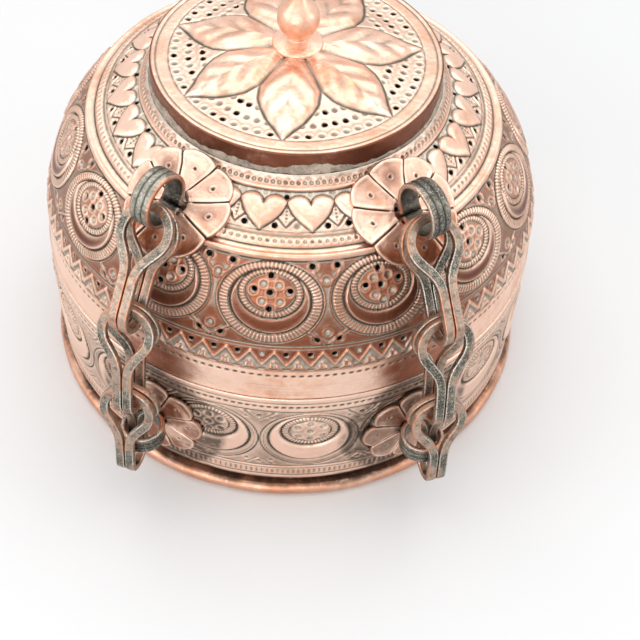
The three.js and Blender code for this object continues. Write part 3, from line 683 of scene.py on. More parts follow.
def ragged(r, z, angle):
    """Uneven crust of solder that climbs the rim here and there."""
    slow = np.sin(2 * angle + 2.6) + np.sin(5 * angle + 0.8) + 0.8 * np.sin(11 * angle)
    quick = np.sin(37 * angle + 1.1) + np.sin(61 * angle) + np.sin(83 * angle + 2.0)
    share = (z - SOLDER_FOOT) / SOLDER_RISE
    climb = 0.9 + 0.5 * np.clip(slow, -1.2, 2.2) + 0.09 * quick
    bead = (r - PLATE_RADIUS) * (1 + 0.12 * quick)
    return PLATE_RADIUS + bead, SOLDER_FOOT + SOLDER_RISE * share * np.maximum(climb, 0.3)


SOLDER_FOOT = NECK_TOP[1] + 0.1
SOLDER_RISE = 2.4
plate_solder = lathe("lid_plate_solder", [
    (PLATE_RADIUS - 0.3, SOLDER_FOOT), (PLATE_RADIUS + 0.9, SOLDER_FOOT),
    (PLATE_RADIUS + 0.8, SOLDER_FOOT + 0.9), (PLATE_RADIUS + 0.3, SOLDER_FOOT + SOLDER_RISE),
    (PLATE_RADIUS - 0.3, SOLDER_FOOT + 2.5)], steps=720, radius=0.2, wave=ragged)

# Base wall, measured down from the lid's edge

WALL_BOTTOM = FOOT_HEIGHT + GAP
GROOVE_RADIUS = WALL_RADIUS - GROOVE_DEPTH
base_line = Outline([(GROOVE_RADIUS, WALL_BOTTOM), (GROOVE_RADIUS, WALL_BOTTOM + GROOVE_HEIGHT),
                     (WALL_RADIUS, WALL_BOTTOM + GROOVE_HEIGHT + GROOVE_DEPTH),
                     (WALL_RADIUS, EDGE_HEIGHT - GAP)], soften=0.7)


def base_relief(azimuth, v):
    depth = EDGE_HEIGHT - base_line.at(v)[1]
    height = waviness(azimuth, v, 0.14)
    height -= dashes(azimuth, depth, 230, WALL_RADIUS, 5.9, 0.5, 0.9)
    height -= 0.6 * hump(depth, 9.4, 0.5) + 0.4 * hump(depth, 3.2, 0.35)
    s = wrap(azimuth, BASE_MEDALLIONS, BASE_PHASE) * WALL_RADIUS
    rim = ellipse(s, depth, 30.4, 22.3, 20.0)
    bed = ellipse(s, depth, 29.1, 18.7, 16.9)
    disc = ellipse(s, depth, 23.6, 12.9, 10.3)
    field = ellipse(s, depth, 23.6, 9.4, 7.5)
    height -= 0.6 * hump(rim, 0, 0.5) + 0.35 * hump(rim, 1.5, 0.35) + 0.65 * hump(bed, 0, 0.55)
    thick = np.minimum(bed, -disc)
    height += 0.8 * smooth(0.3, 2.0, thick)
    height -= 0.7 * hump(disc, 0, 0.5) + 0.5 * hump(field, 0, 0.4)
    height += 0.2 * milling(s, depth, *BASE_DISC)
    height += 0.25 * smooth(0.5, 2.5, field)
    fill = 0 * v
    for place in ((0, 23.6), (0, 18.4), (0, 28.9), (-5.6, 20.6), (5.5, 20.4), (-5.2, 26.9),
                  (5.6, 27.1)):
        height += dimple(s, depth, place, 1.7, 0.7)
        fill += pit(s, depth, place, 1.5)
    half = math.pi / BASE_MEDALLIONS
    gap = wrap(azimuth, BASE_MEDALLIONS, BASE_PHASE + half) * WALL_RADIUS
    clear = 1 - smooth(-0.9, -0.3, rim)
    for way, end in ((1, 10.4), (-1, 50.4)):
        close = (depth - end) * way
        leaf = np.abs(np.abs(gap) - 6.2 + 0.8 * close + 0.08 * close ** 2)
        height -= 0.6 * hump(leaf, 0, 0.5) * (close > 0) * (close < 7.5) * clear
        height += 0.4 * hump(leaf, 1.3, 0.5) * (close > 0) * (close < 7.5) * clear
        for sign in (-1, 1):
            height += dimple(gap, depth, (sign * 5.6, end + 3.6 * way), 1.1, 0.5) * clear
        height += dimple(gap, depth, (0, end + 2.4 * way), 1.3, 0.6) * clear
    for line in (51.6, 53.8, 59.0):
        height -= 0.5 * hump(depth, line, 0.4)
    ticks = 0.5 + 0.5 * np.sin(azimuth * 300)
    height -= 0.4 * ticks * smooth(54.4, 55, depth) * (1 - smooth(57.8, 58.6, depth))
    tone = 0.75 * clear * smooth(9.4, 9.9, depth) * (1 - smooth(51.0, 51.6, depth))
    tone += 0.55 * smooth(0.4, 1.2, rim) * (1 - smooth(-0.9, -0.3, bed)) + 0.5 * smooth(0, 0.5, field)
    return height, tone, fill + 0.5 * tone


base_wall = relief_shell("base_wall_chased", base_line, BASE_COLUMNS, base_relief, SHEET,
                         inner_share=0.0)

# Plain turned pieces of the base and the lid

WALL_INSIDE = WALL_RADIUS - SHEET
FLOOR_RADIUS = GROOVE_RADIUS - SHEET - GAP
FLOOR_SHEET = 1.6
FOOT_INSIDE = FLOOR_RADIUS + GAP
FOOT_FLANGE = 6.0    # of the foot, inwards over the floor
COLLAR_RISE = 5.0    # above the wall, inside the lid
COLLAR_SKIRT = 9.0   # below the top of the wall
LEDGE_SKIRT = 6.0
COLLAR_RADIUS = EDGE_RADIUS - SHEET - 0.6


def arc(middle, radius, start, end, steps):
    angles = [start + (end - start) * k / steps for k in range(steps + 1)]
    return [(middle[0] + radius * math.cos(a), middle[1] + radius * math.sin(a)) for a in angles]


def uneven(r, z, angle):
    """Dents of the rolled foot, in radius only and never outwards."""
    slow = np.sin(3 * angle + 0.7) + np.sin(8 * angle + 2.1) + np.sin(19 * angle)
    outer = smooth(WALL_RADIUS - 2, WALL_RADIUS + 2, r)
    return r - 0.35 * outer * (1 + slow / 3), z


bead = FOOT_HEIGHT / 2
foot_ring = lathe("foot_ring_rolled", [
    (FOOT_INSIDE, 0),
    *arc((WALL_RADIUS - GAP, bead), bead, -math.pi / 2, math.pi / 2, 16),
    (FOOT_INSIDE - FOOT_FLANGE, FOOT_HEIGHT), (FOOT_INSIDE - FOOT_FLANGE, FLOOR_SHEET + GAP),
    (FOOT_INSIDE, FLOOR_SHEET + GAP)], steps=360, wave=uneven)
base_floor = lathe("base_floor_sheet", [
    (0, 0), (FLOOR_RADIUS, 0), (FLOOR_RADIUS, FLOOR_SHEET), (0, FLOOR_SHEET)])
WALL_TOP = EDGE_HEIGHT - GAP
seat = WALL_INSIDE - GAP
collar_low = WALL_TOP - COLLAR_SKIRT
collar_bend = WALL_TOP - (seat - COLLAR_RADIUS)
collar_top = WALL_TOP + COLLAR_RISE
lid_collar = lathe("lid_collar_sheet", [
    (seat, collar_low), (seat, collar_bend), (COLLAR_RADIUS, WALL_TOP),
    (COLLAR_RADIUS, collar_top), (COLLAR_RADIUS - LIGHT_SHEET, collar_top),
    (COLLAR_RADIUS - LIGHT_SHEET, WALL_TOP), (seat - LIGHT_SHEET, collar_bend),
    (seat - LIGHT_SHEET, collar_low)], steps=240)
LEDGE_HEIGHT = 58.0
TRAY_RADIUS = COLLAR_RADIUS - LIGHT_SHEET - 10
LEDGE_INSIDE = TRAY_RADIUS - 3.2
tray_ledge = lathe("tray_ledge_sheet", [
    (seat, LEDGE_HEIGHT - LEDGE_SKIRT), (seat, LEDGE_HEIGHT), (LEDGE_INSIDE, LEDGE_HEIGHT),
    (LEDGE_INSIDE, LEDGE_HEIGHT - LIGHT_SHEET), (seat - LIGHT_SHEET, LEDGE_HEIGHT - LIGHT_SHEET),
    (seat - LIGHT_SHEET, LEDGE_HEIGHT - LEDGE_SKIRT)], steps=240)

WASHER_THICK = 1.0
PEEN_HEIGHT = 1.6
RIVET_WASHER_RADIUS = 8.5


def rivet(seat_height, sheet):
    """Shank under a turned knob, with the head that is hammered over its washer."""
    head = seat_height - sheet - GAP - WASHER_THICK - GAP
    return [(0, head - PEEN_HEIGHT), (SHANK_RADIUS + PEEN_HEIGHT, head - PEEN_HEIGHT),
            (SHANK_RADIUS + PEEN_HEIGHT, head), (SHANK_RADIUS, head),
            (SHANK_RADIUS, seat_height + GAP)]


def rivet_washer(name, seat_height, sheet):
    low = seat_height - sheet - GAP - WASHER_THICK
    high = low + WASHER_THICK
    return lathe(name, [(RIVET_HOLE, low), (RIVET_WASHER_RADIUS, low), (RIVET_WASHER_RADIUS, high),
                        (RIVET_HOLE, high)], steps=64, radius=0.3)


foot = FINIAL_FOOT + GAP
finial = lathe("finial_turned", [
    *rivet(FINIAL_FOOT, LIGHT_SHEET), (11, foot), (11, foot + 1.5), (7.5, foot + 2.4), (4, foot + 4),
    *arc((0, foot + 13.5), 9, -math.pi / 3.2, math.pi / 4, 18), (2, foot + 24.5), (0, foot + 27)],
    steps=96, radius=0.8)
finial_washer = rivet_washer("finial_washer_cut", FINIAL_FOOT, LIGHT_SHEET)

# Tray, knob and cups

TRAY_FLOOR = LEDGE_HEIGHT + GAP
TRAY_TOP = TRAY_FLOOR + LIGHT_SHEET
TRAY_RIM = 7.0
CUP_RADIUS = 29.4
CUP_FLANGE = 2.4
CUP_CIRCLE = 63.0
CUP_COUNT = 5
CUP_DEPTH = 33.0
CUP_SHEET = 1.1
CUP_ROUNDING = 6.0
CUP_HOLE = CUP_RADIUS + 2 * GAP
CUTTER_REACH = 4.0


def cup_place(number):
    angle = 2 * math.pi * number / CUP_COUNT
    return CUP_CIRCLE * math.sin(angle), CUP_CIRCLE * math.cos(angle)


tray = lathe("tray_dish", [
    (0, TRAY_FLOOR), (TRAY_RADIUS, TRAY_FLOOR), (TRAY_RADIUS, TRAY_FLOOR + TRAY_RIM),
    (TRAY_RADIUS - LIGHT_SHEET, TRAY_FLOOR + TRAY_RIM), (TRAY_RADIUS - LIGHT_SHEET, TRAY_TOP),
    (0, TRAY_TOP)], steps=240)


def cutter(name, radius, steps, centre=(0, 0)):
    low, high = TRAY_FLOOR - CUTTER_REACH, TRAY_FLOOR + CUTTER_REACH
    return lathe(name, [(0, low), (radius, low), (radius, high), (0, high)],
                 steps=steps, radius=0.01, centre=centre)


def cut(piece, tools):
    """Takes the tools' shapes out of a piece, and then the tools away."""
    for tool in tools:
        modifier = piece.modifiers.new("hole", "BOOLEAN")
        modifier.object = tool
        modifier.operation = "DIFFERENCE"
        modifier.solver = "EXACT"
    bpy.context.view_layer.update()
    evaluated = piece.evaluated_get(bpy.context.evaluated_depsgraph_get())
    carved = bpy.data.meshes.new_from_object(evaluated)
    piece.modifiers.clear()
    piece.data = carved
    for tool in tools:
        bpy.data.objects.remove(tool)


cutters = [cutter(f"cutter_{i}", CUP_HOLE, 120, cup_place(i)) for i in range(CUP_COUNT)]
cutters.append(cutter("cutter_shank", RIVET_HOLE, 48))
cut(tray, cutters)

foot = TRAY_TOP + GAP
tray_knob = lathe("tray_knob_turned", [
    *rivet(TRAY_TOP, LIGHT_SHEET), (9.5, foot), (9.5, foot + 1.5), (6, foot + 2.3), (3, foot + 3.5),
    *arc((0, foot + 16.5), 7.5, -math.pi / 3, math.pi / 2 - 0.05, 18), (0, foot + 24)],
    steps=96, radius=0.6)
tray_knob_washer = rivet_washer("tray_knob_washer_cut", TRAY_TOP, LIGHT_SHEET)


def cup(number):
    under = TRAY_TOP + GAP
    top = under + CUP_SHEET
    low = under - CUP_DEPTH
    middle = (CUP_RADIUS - CUP_ROUNDING, low + CUP_ROUNDING)
    return lathe(f"cup_{number + 1}_turned", [
        (0, low), *arc(middle, CUP_ROUNDING, -math.pi / 2, 0, 10), (CUP_RADIUS, under),
        (CUP_RADIUS + CUP_FLANGE, under), (CUP_RADIUS + CUP_FLANGE, top),
        (CUP_RADIUS - CUP_SHEET, top),
        *arc(middle, CUP_ROUNDING - CUP_SHEET, 0, -math.pi / 2, 10), (0, low + CUP_SHEET)],
        steps=120, centre=cup_place(number))


cups = [cup(i) for i in range(CUP_COUNT)]

# Directions at a chain

UP = Vector((0, 0, 1))


def outward(azimuth):
    return Vector((math.sin(azimuth), -math.cos(azimuth), 0))


def in_plane(azimuth, point):
    return outward(azimuth) * point[0] + UP * point[1]


# Staples: a band with two grooves along its outer face, looped and driven through the wall

BAND_WIDTH = 9.0
BAND_THICK = 2.3
CLINCH_LENGTH = 5.0
SHANK_HOLE = math.hypot(BAND_THICK + GAP / 2, BAND_WIDTH / 2) + GAP


def sweep(points, across, through, section, closed):
    """Section of (across, through) offsets carried along points."""
    count, corners = section.shape[:2]
    grid = (points[:, None, :] + across[:, None, :] * section[..., 0:1]
            + through[:, None, :] * section[..., 1:2])
    flat = grid.reshape(-1, 3)
    if closed:
        return flat, [grid_faces(count + 1, corners) % (count * corners)]
    ends = [np.arange(corners)[::-1], np.arange(corners) + (count - 1) * corners]
    return flat, [grid_faces(count, corners), np.array(ends)]


def staple_line(loop_radius, standoff, depth, clinch_tilt):
    """Middle of the band: clinched end, shank, loop, shank and the other clinched end."""
    half = BAND_THICK / 2 + GAP / 2
    opening = math.asin(half / loop_radius)
    loop = arc((standoff, 0), loop_radius, math.pi - opening, opening - math.pi, 72)
    inner = -(depth + BAND_THICK / 2) / math.cos(clinch_tilt)
    skew = math.tan(clinch_tilt)
    tip = half + CLINCH_LENGTH * math.cos(clinch_tilt)
    steps = 10
    bend_in = Vector((inner - half * skew, half))
    bend_out = Vector((inner + half * skew, -half))
    shank_in = [tuple(bend_in.lerp(Vector(loop[0]), k / steps)) for k in range(steps)]
    shank_out = [tuple(Vector(loop[-1]).lerp(bend_out, k / steps)) for k in range(1, steps + 1)]
    return [(inner - tip * skew, tip), *shank_in, *loop, *shank_out, (inner + tip * skew, -tip)]


def staple(name, place, shank, sideways, line):
    points = np.array([place + shank * p[0] + sideways * p[1] for p in line])
    along = np.gradient(points, axis=0)
    along /= np.linalg.norm(along, axis=1, keepdims=True)
    across = np.tile(np.array(shank.cross(sideways)), (len(points), 1))
    through = np.cross(across, along)
    width = np.linspace(-1, 1, 31)
    groove = 0.4 * (hump(width, -0.3, 0.1) + hump(width, 0.36, 0.1))
    rounding = 0.35 * smooth(0.8, 1.0, np.abs(width))
    outer = BAND_THICK / 2 - groove - rounding
    inner = -BAND_THICK / 2 + rounding
    section = np.concatenate([
        np.stack([width * BAND_WIDTH / 2, outer], axis=-1),
        np.stack([width[::-1] * BAND_WIDTH / 2, inner], axis=-1)])
    sides = np.repeat(section[None], len(points), axis=0)
    flat, faces = sweep(points, across, through, sides, closed=False)
    edge = np.concatenate([smooth(0.72, 1.0, np.abs(width)), smooth(0.72, 1.0, np.abs(width))])
    # painted shade: in the two grooves and over the whole inner face of the band
    painted_shade_share = np.concatenate([groove / 0.4, np.full(31, 0.75)])
    attributes = {"crest": np.tile(edge, len(points)), "recess": np.tile(painted_shade_share, len(points))}
    return make_mesh(name, flat, faces, attributes)


# Rosettes: cupped petals in one sheet that follows the wall under it

ROSETTE_RADIUS = 24.0
ROSETTE_PETALS = 8


def petal_relief(chance, reach, angle, rim, hole):
    """Height of the cupped petals, each a little different, and what the material reads."""
    number = np.floor((angle + math.pi / ROSETTE_PETALS) / (2 * math.pi / ROSETTE_PETALS))
    number = number.astype(int) % ROSETTE_PETALS
    side = wrap(angle, ROSETTE_PETALS, 0) * reach
    seam = reach * math.pi / ROSETTE_PETALS - np.abs(side)
    tip = rim[None, :] - reach
    edge = np.minimum(seam, tip)
    high = (0.35 + 0.4 * chance.random(ROSETTE_PETALS))[number]
    lean = (0.5 * chance.random(ROSETTE_PETALS) - 0.25)[number]
    cup = 0.75 * hump(np.hypot(side, (reach - 15.5) * 0.8), 0, 4.6)
    top = 1.15 + high + lean * side / 7 + 0.25 * smooth(2.6, 0.6, edge) - cup * high * 0.9
    top += 0.06 * np.sin(side * 0.9 + 5 * high) * np.sin(reach * 0.7 + 9 * lean)
    top -= 0.85 * (1 - smooth(0.1, 0.6, seam)) * smooth(hole + 1, hole + 3, reach)
    top -= 0.4 * (1 - smooth(0.0, 0.5, tip))
    top += dimple(side, reach, (0, 16.0), 1.0, 0.45)
    top = np.clip(top, 0.5, 2.0)
    near = blur(top, 2, 4)
    return top, {
        # recess: hollows of the petals, and a painted shadow line along the seams between them
        "recess": np.clip((near - top) * 2.2 + 0.8 * (1 - smooth(0.1, 0.7, seam)), 0, 1),
        # crest: raised places, and a painted highlight along each petal's edge
        "crest": np.clip((top - near) * 2.5 + hump(edge, 0.75, 0.4) * 0.9, 0, 1),
        "tone": (high - 0.35) / 0.4 * 0.6 + cup * 0.5}


def rosette_faces(rows, columns):
    """Upper and lower face, the outer edge and the edge of the hole."""
    start = rows * columns
    outer = (rows - 1) * columns
    k = np.arange(columns)
    after = (k + 1) % columns
    rims = np.concatenate([
        np.stack([outer + k, start + outer + k, start + outer + after, outer + after], axis=-1),
        np.stack([k, after, start + after, start + k], axis=-1)])
    return [grid_faces(rows, columns, flip=True), grid_faces(rows, columns, start), rims]


def rosette(name, line, middle_v, azimuth, notch, raggedness, seed):
    """The line runs up the wall; the rosette's middle is at middle_v."""
    chance = np.random.default_rng(seed)
    columns, rows = ROSETTE_PETALS * 56, 44
    hole = SHANK_HOLE + 2 * GAP
    turn = 2 * math.pi * np.arange(columns) / columns
    lobe = np.abs(np.cos(turn * ROSETTE_PETALS / 2)) ** 0.5
    ragged = sum(np.sin(k * turn + chance.random() * 6.3) / k for k in (5, 9, 16, 27))
    bite = raggedness * (0.5 + 0.5 * np.clip(ragged, -1, 1))
    rim = ROSETTE_RADIUS * (1 - notch * (1 - lobe)) - bite
    reach = hole + (rim[None, :] - hole) * np.linspace(0, 1, rows)[:, None]
    angle = np.repeat(turn[None, :], rows, axis=0)
    top, looks = petal_relief(chance, reach, angle, rim, hole)

    def spread(lift):
        v = middle_v - reach * np.cos(angle)
        sideways = azimuth + reach * np.sin(angle) / line.at(v)[0]
        return place_points(line, sideways, v, lift).reshape(-1, 3)

    points = np.concatenate([spread(top), spread(np.zeros_like(top))])
    attributes = {label: np.concatenate([values.ravel(), np.zeros(rows * columns)])
                  for label, values in looks.items()}
    return make_mesh(name, points, rosette_faces(rows, columns), attributes)


ROSETTE_LIFT = 0.5
lid_staple_foot = Vector(RIDGE_HEAD) + HEART_SLOPE * 7.3
rosette_line = Outline([
    tuple(Vector(medallion_point(0.3)) + Vector((1.1, 0.6))),
    tuple(Vector(medallion_point(0.7)) + Vector((1.1, 0.9))),
    tuple(Vector(RIDGE_CREST) + HEART_NORMAL * 0.5),
    tuple(lid_staple_foot + HEART_NORMAL * 1.1),
    tuple(Vector(HEART_TOP) + HEART_NORMAL * 1.0),
    tuple(Vector(NECK_TOP) + Vector((0.5, 1.0)))], soften=4.0)
nearest = np.argmin(np.hypot(rosette_line.r - lid_staple_foot.x, rosette_line.z - lid_staple_foot.y))
lid_rosette_v = rosette_line.v[nearest]

# Chain links: a closed loop of strip, pinched at the waist and folded in two

STRIP_WIDTH = 4.0
STRIP_THICK = 2.8
EYE_RADIUS = 10.4
LINK_PITCH = 42.0
FOLD_DROP = 2.0
FOLD_GAP = 10.8
WAIST_DROP = 32.0
STRAND_GAP = 0.5
EYE_PLAY = 2.6
LEAN_ANGLES = [math.radians(a) for a in (41.3, 15.5, 3.5)]
HEADING_ANGLES = [math.radians(a) for a in (21, 9, 43)]
FACING_ANGLES = [math.radians(a) for a in (26, 16.5, 17.5)]
FOLD_RADIUS = FOLD_GAP / 2 + STRIP_THICK / 2
STRAND_OFFSET = STRIP_WIDTH / 2 + STRAND_GAP / 2
EYE_DEPTH = STRIP_THICK / 2 + STRAND_GAP / 2
FOLD_MIDDLE = -LINK_PITCH - FOLD_DROP
LID_LOOP_RADIUS = 11.0
BASE_LOOP_RADIUS = 8.6
LID_STANDOFF = 16.0
SHANK_TILT = math.radians(48)
BASE_LOOP_RISE = 3.65   # base staple above the end of the last link's pitch
WASHER_RADIUS = 8.2     # of the staples' washers
ROSETTE_STRIP = 26.0    # of wall, above and below the middle of a rosette


def link_quarter():
    eye = arc((0, -EYE_RADIUS), EYE_RADIUS, math.pi / 2, -math.pi / 5, 44)
    last = Vector(eye[-1])
    leave = Vector((last.y + EYE_RADIUS, -last.x)).normalized()
    handles = [last, last + leave * EYE_RADIUS * 0.7,
               Vector((STRAND_OFFSET, EYE_RADIUS * 0.8 - WAIST_DROP)),
               Vector((STRAND_OFFSET, -WAIST_DROP))]
    neck = []
    for k in range(1, 25):
        t = k / 24
        weights = ((1 - t) ** 3, 3 * t * (1 - t) ** 2, 3 * t * t * (1 - t), t ** 3)
        point = sum((h * w for h, w in zip(handles, weights)), Vector((0, 0)))
        neck.append((point.x, point.y))
    straight = [(STRAND_OFFSET, -WAIST_DROP + (FOLD_MIDDLE + WAIST_DROP) * k / 30)
                for k in range(1, 31)]
    line = np.array(eye + neck + straight)
    share = np.minimum(-line[:, 1] / WAIST_DROP, 1)
    depth = EYE_DEPTH + (FOLD_RADIUS - EYE_DEPTH) * share ** 2 * (3 - 2 * share)
    points = np.stack([line[:, 0], -depth, line[:, 1]], axis=-1)
    out = np.tile([0.0, -1.0, 0.0], (len(points), 1))
    return points, out


def link_loop():
    points, out = link_quarter()
    angles = np.pi * np.arange(1, 24) / 24
    fold_out = np.stack([0 * angles, -np.cos(angles), -np.sin(angles)], axis=-1)
    fold = np.array([STRAND_OFFSET, 0, FOLD_MIDDLE]) + FOLD_RADIUS * fold_out
    flip = np.array([1, -1, 1])
    right = np.concatenate([points, fold, (points * flip)[::-1]])
    right_out = np.concatenate([out, fold_out, (out * flip)[::-1]])
    mirror = np.array([-1, 1, 1])
    left = (right * mirror)[1:-1][::-1]
    left_out = (right_out * mirror)[1:-1][::-1]
    return np.concatenate([right, left]), np.concatenate([right_out, left_out])


def link_mesh(name, matrix, seed):
    chance = np.random.default_rng(seed)
    points, out = link_loop()
    along = np.roll(points, -1, axis=0) - np.roll(points, 1, axis=0)
    along /= np.linalg.norm(along, axis=1, keepdims=True)
    through = out - along * np.sum(out * along, axis=1, keepdims=True)
    through /= np.linalg.norm(through, axis=1, keepdims=True)
    across = np.cross(along, through)
    corners = 20
    angle = 2 * math.pi * (np.arange(corners) + 0.5) / corners
    power = 0.3
    a = np.sign(np.cos(angle)) * np.abs(np.cos(angle)) ** power
    b = np.sign(np.sin(angle)) * np.abs(np.sin(angle)) ** power
    count = len(points)
    hatch = 0.05 * chance.random(count)
    hatch = hatch[:, None] * (np.abs(b) > 0.9)[None, :]
    worn = 0.05 * np.convolve(chance.random(count + 8) - 0.5, np.ones(9) / 3, mode="valid")
    half_width = STRIP_WIDTH / 2 - np.abs(worn)[:, None]
    section = np.stack([a[None, :] * half_width,
                        b[None, :] * (STRIP_THICK / 2 - hatch)], axis=-1)
    flat, faces = sweep(points, across, through, section, closed=True)
    edge = smooth(0.62, 0.9, np.minimum(np.abs(a), np.abs(b)) * 1.25)
    attributes = {"crest": np.tile(edge, count), "recess": np.zeros(count * corners),
                  "bend": np.repeat(bend_wear(points), corners)}
    flat = flat @ np.array(matrix.to_3x3()).T + np.array(matrix.translation)
    return make_mesh(name, flat, [faces[0][:, ::-1]], attributes)


def bend_wear(points):
    """Where the next link rubs: the tops of the eyes and the fold."""
    eyes = hump(points[:, 2], 0, 3.0)
    fold = hump(points[:, 2], FOLD_MIDDLE - FOLD_RADIUS, 5.0)
    return np.clip(eyes + fold, 0, 1)


def first_eye_drop():
    eye_inside = EYE_RADIUS - STRIP_WIDTH / 2
    loop_inside = LID_LOOP_RADIUS - BAND_THICK / 2
    eye_sag = eye_inside - math.sqrt(eye_inside ** 2 - (BAND_WIDTH / 2) ** 2)
    loop_sag = loop_inside - math.sqrt(loop_inside ** 2 - (EYE_DEPTH + STRIP_THICK / 2) ** 2)
    return loop_inside - STRIP_WIDTH / 2 - eye_sag - loop_sag - EYE_PLAY


lid_shank = Vector((math.cos(SHANK_TILT), math.sin(SHANK_TILT)))


def chain_points():
    points = []
    place = in_plane(LID_AZIMUTH, lid_staple_foot + lid_shank * LID_STANDOFF)
    for i, (lean, heading) in enumerate(zip(LEAN_ANGLES, HEADING_ANGLES)):
        down = in_plane(heading, (math.sin(lean), -math.cos(lean)))
        if i == 0:
            place = place + down * first_eye_drop()
        points.append(place)
        place = place + down * LINK_PITCH
    return points + [place]


chain = chain_points()
BASE_AZIMUTH = math.atan2(chain[-1].x, -chain[-1].y)
BASE_STAPLE_HEIGHT = chain[-1].z + BASE_LOOP_RISE
BASE_STANDOFF = math.hypot(chain[-1].x, chain[-1].y) - WALL_RADIUS - BASE_LOOP_RADIUS - 0.5


def washer_sag(radius):
    return radius - math.sqrt(radius ** 2 - WASHER_RADIUS ** 2) + radius * (1 - math.cos(math.pi / 48))


lid_clinch_tilt = math.atan2(HEART_NORMAL.y, HEART_NORMAL.x) - SHANK_TILT
lid_sag = washer_sag(lid_staple_foot.x / HEART_NORMAL.x)
base_sag = washer_sag(WALL_RADIUS)
CLINCH_DEPTH = SHEET + 2 * GAP + WASHER_THICK
lid_staple_path = staple_line(LID_LOOP_RADIUS, LID_STANDOFF, CLINCH_DEPTH + lid_sag, lid_clinch_tilt)
base_staple_path = staple_line(BASE_LOOP_RADIUS, BASE_STANDOFF, CLINCH_DEPTH + base_sag, 0)
wall_line = Outline([(WALL_RADIUS + ROSETTE_LIFT, BASE_STAPLE_HEIGHT - ROSETTE_STRIP),
                     (WALL_RADIUS + ROSETTE_LIFT, BASE_STAPLE_HEIGHT + ROSETTE_STRIP)])

lid_pieces = {}
base_pieces = {}
links = {}
for side, sign in (("left", -1), ("right", 1)):
    azimuth = sign * LID_AZIMUTH
    base_azimuth = sign * BASE_AZIMUTH
    out = outward(base_azimuth)
    lid_pieces[f"lid_staple_{side}"] = staple(
        f"lid_staple_{side}_band", in_plane(azimuth, lid_staple_foot), in_plane(azimuth, lid_shank),
        in_plane(azimuth, (-lid_shank.y, lid_shank.x)), lid_staple_path)
    base_pieces[f"base_staple_{side}"] = staple(
        f"base_staple_{side}_band", in_plane(base_azimuth, (WALL_RADIUS, BASE_STAPLE_HEIGHT)), out,
        UP.cross(out), base_staple_path)
    lid_pieces[f"lid_rosette_{side}"] = rosette(
        f"lid_rosette_{side}_petals", rosette_line, lid_rosette_v, azimuth, 0.1, 0.5, 20 + sign)
    base_pieces[f"base_rosette_{side}"] = rosette(
        f"base_rosette_{side}_petals", wall_line, ROSETTE_STRIP, base_azimuth, 0.2, 1.2, 30 + sign)
    points = [Vector((sign * p.x, p.y, p.z)) for p in chain]
    for i, facing in enumerate(FACING_ANGLES):
        up = (points[i] - points[i + 1]).normalized()
        inward = -outward(sign * facing)
        across = inward.cross(up).normalized()
        matrix = Matrix((across, up.cross(across), up)).transposed().to_4x4()
        matrix.translation = points[i]
        body = f"chain_{side}_link_{i + 1}"
        links[body] = link_mesh(f"{body}_strip", matrix, 50 + 10 * i + sign)


# Materials

class Value:
    """Output of a shader node. Arithmetic on it adds math nodes."""

    def __init__(self, shader, socket):
        self.shader = shader
        self.socket = socket

    def __add__(self, other):
        return self.shader.math("ADD", self, other)

    def __mul__(self, other):
        return self.shader.math("MULTIPLY", self, other)

    def __sub__(self, other):
        return self.shader.math("SUBTRACT", self, other)

    def __rsub__(self, other):
        return self.shader.math("SUBTRACT", other, self)

    def __truediv__(self, other):
        return self.shader.math("DIVIDE", self, other)

    __radd__ = __add__
    __rmul__ = __mul__


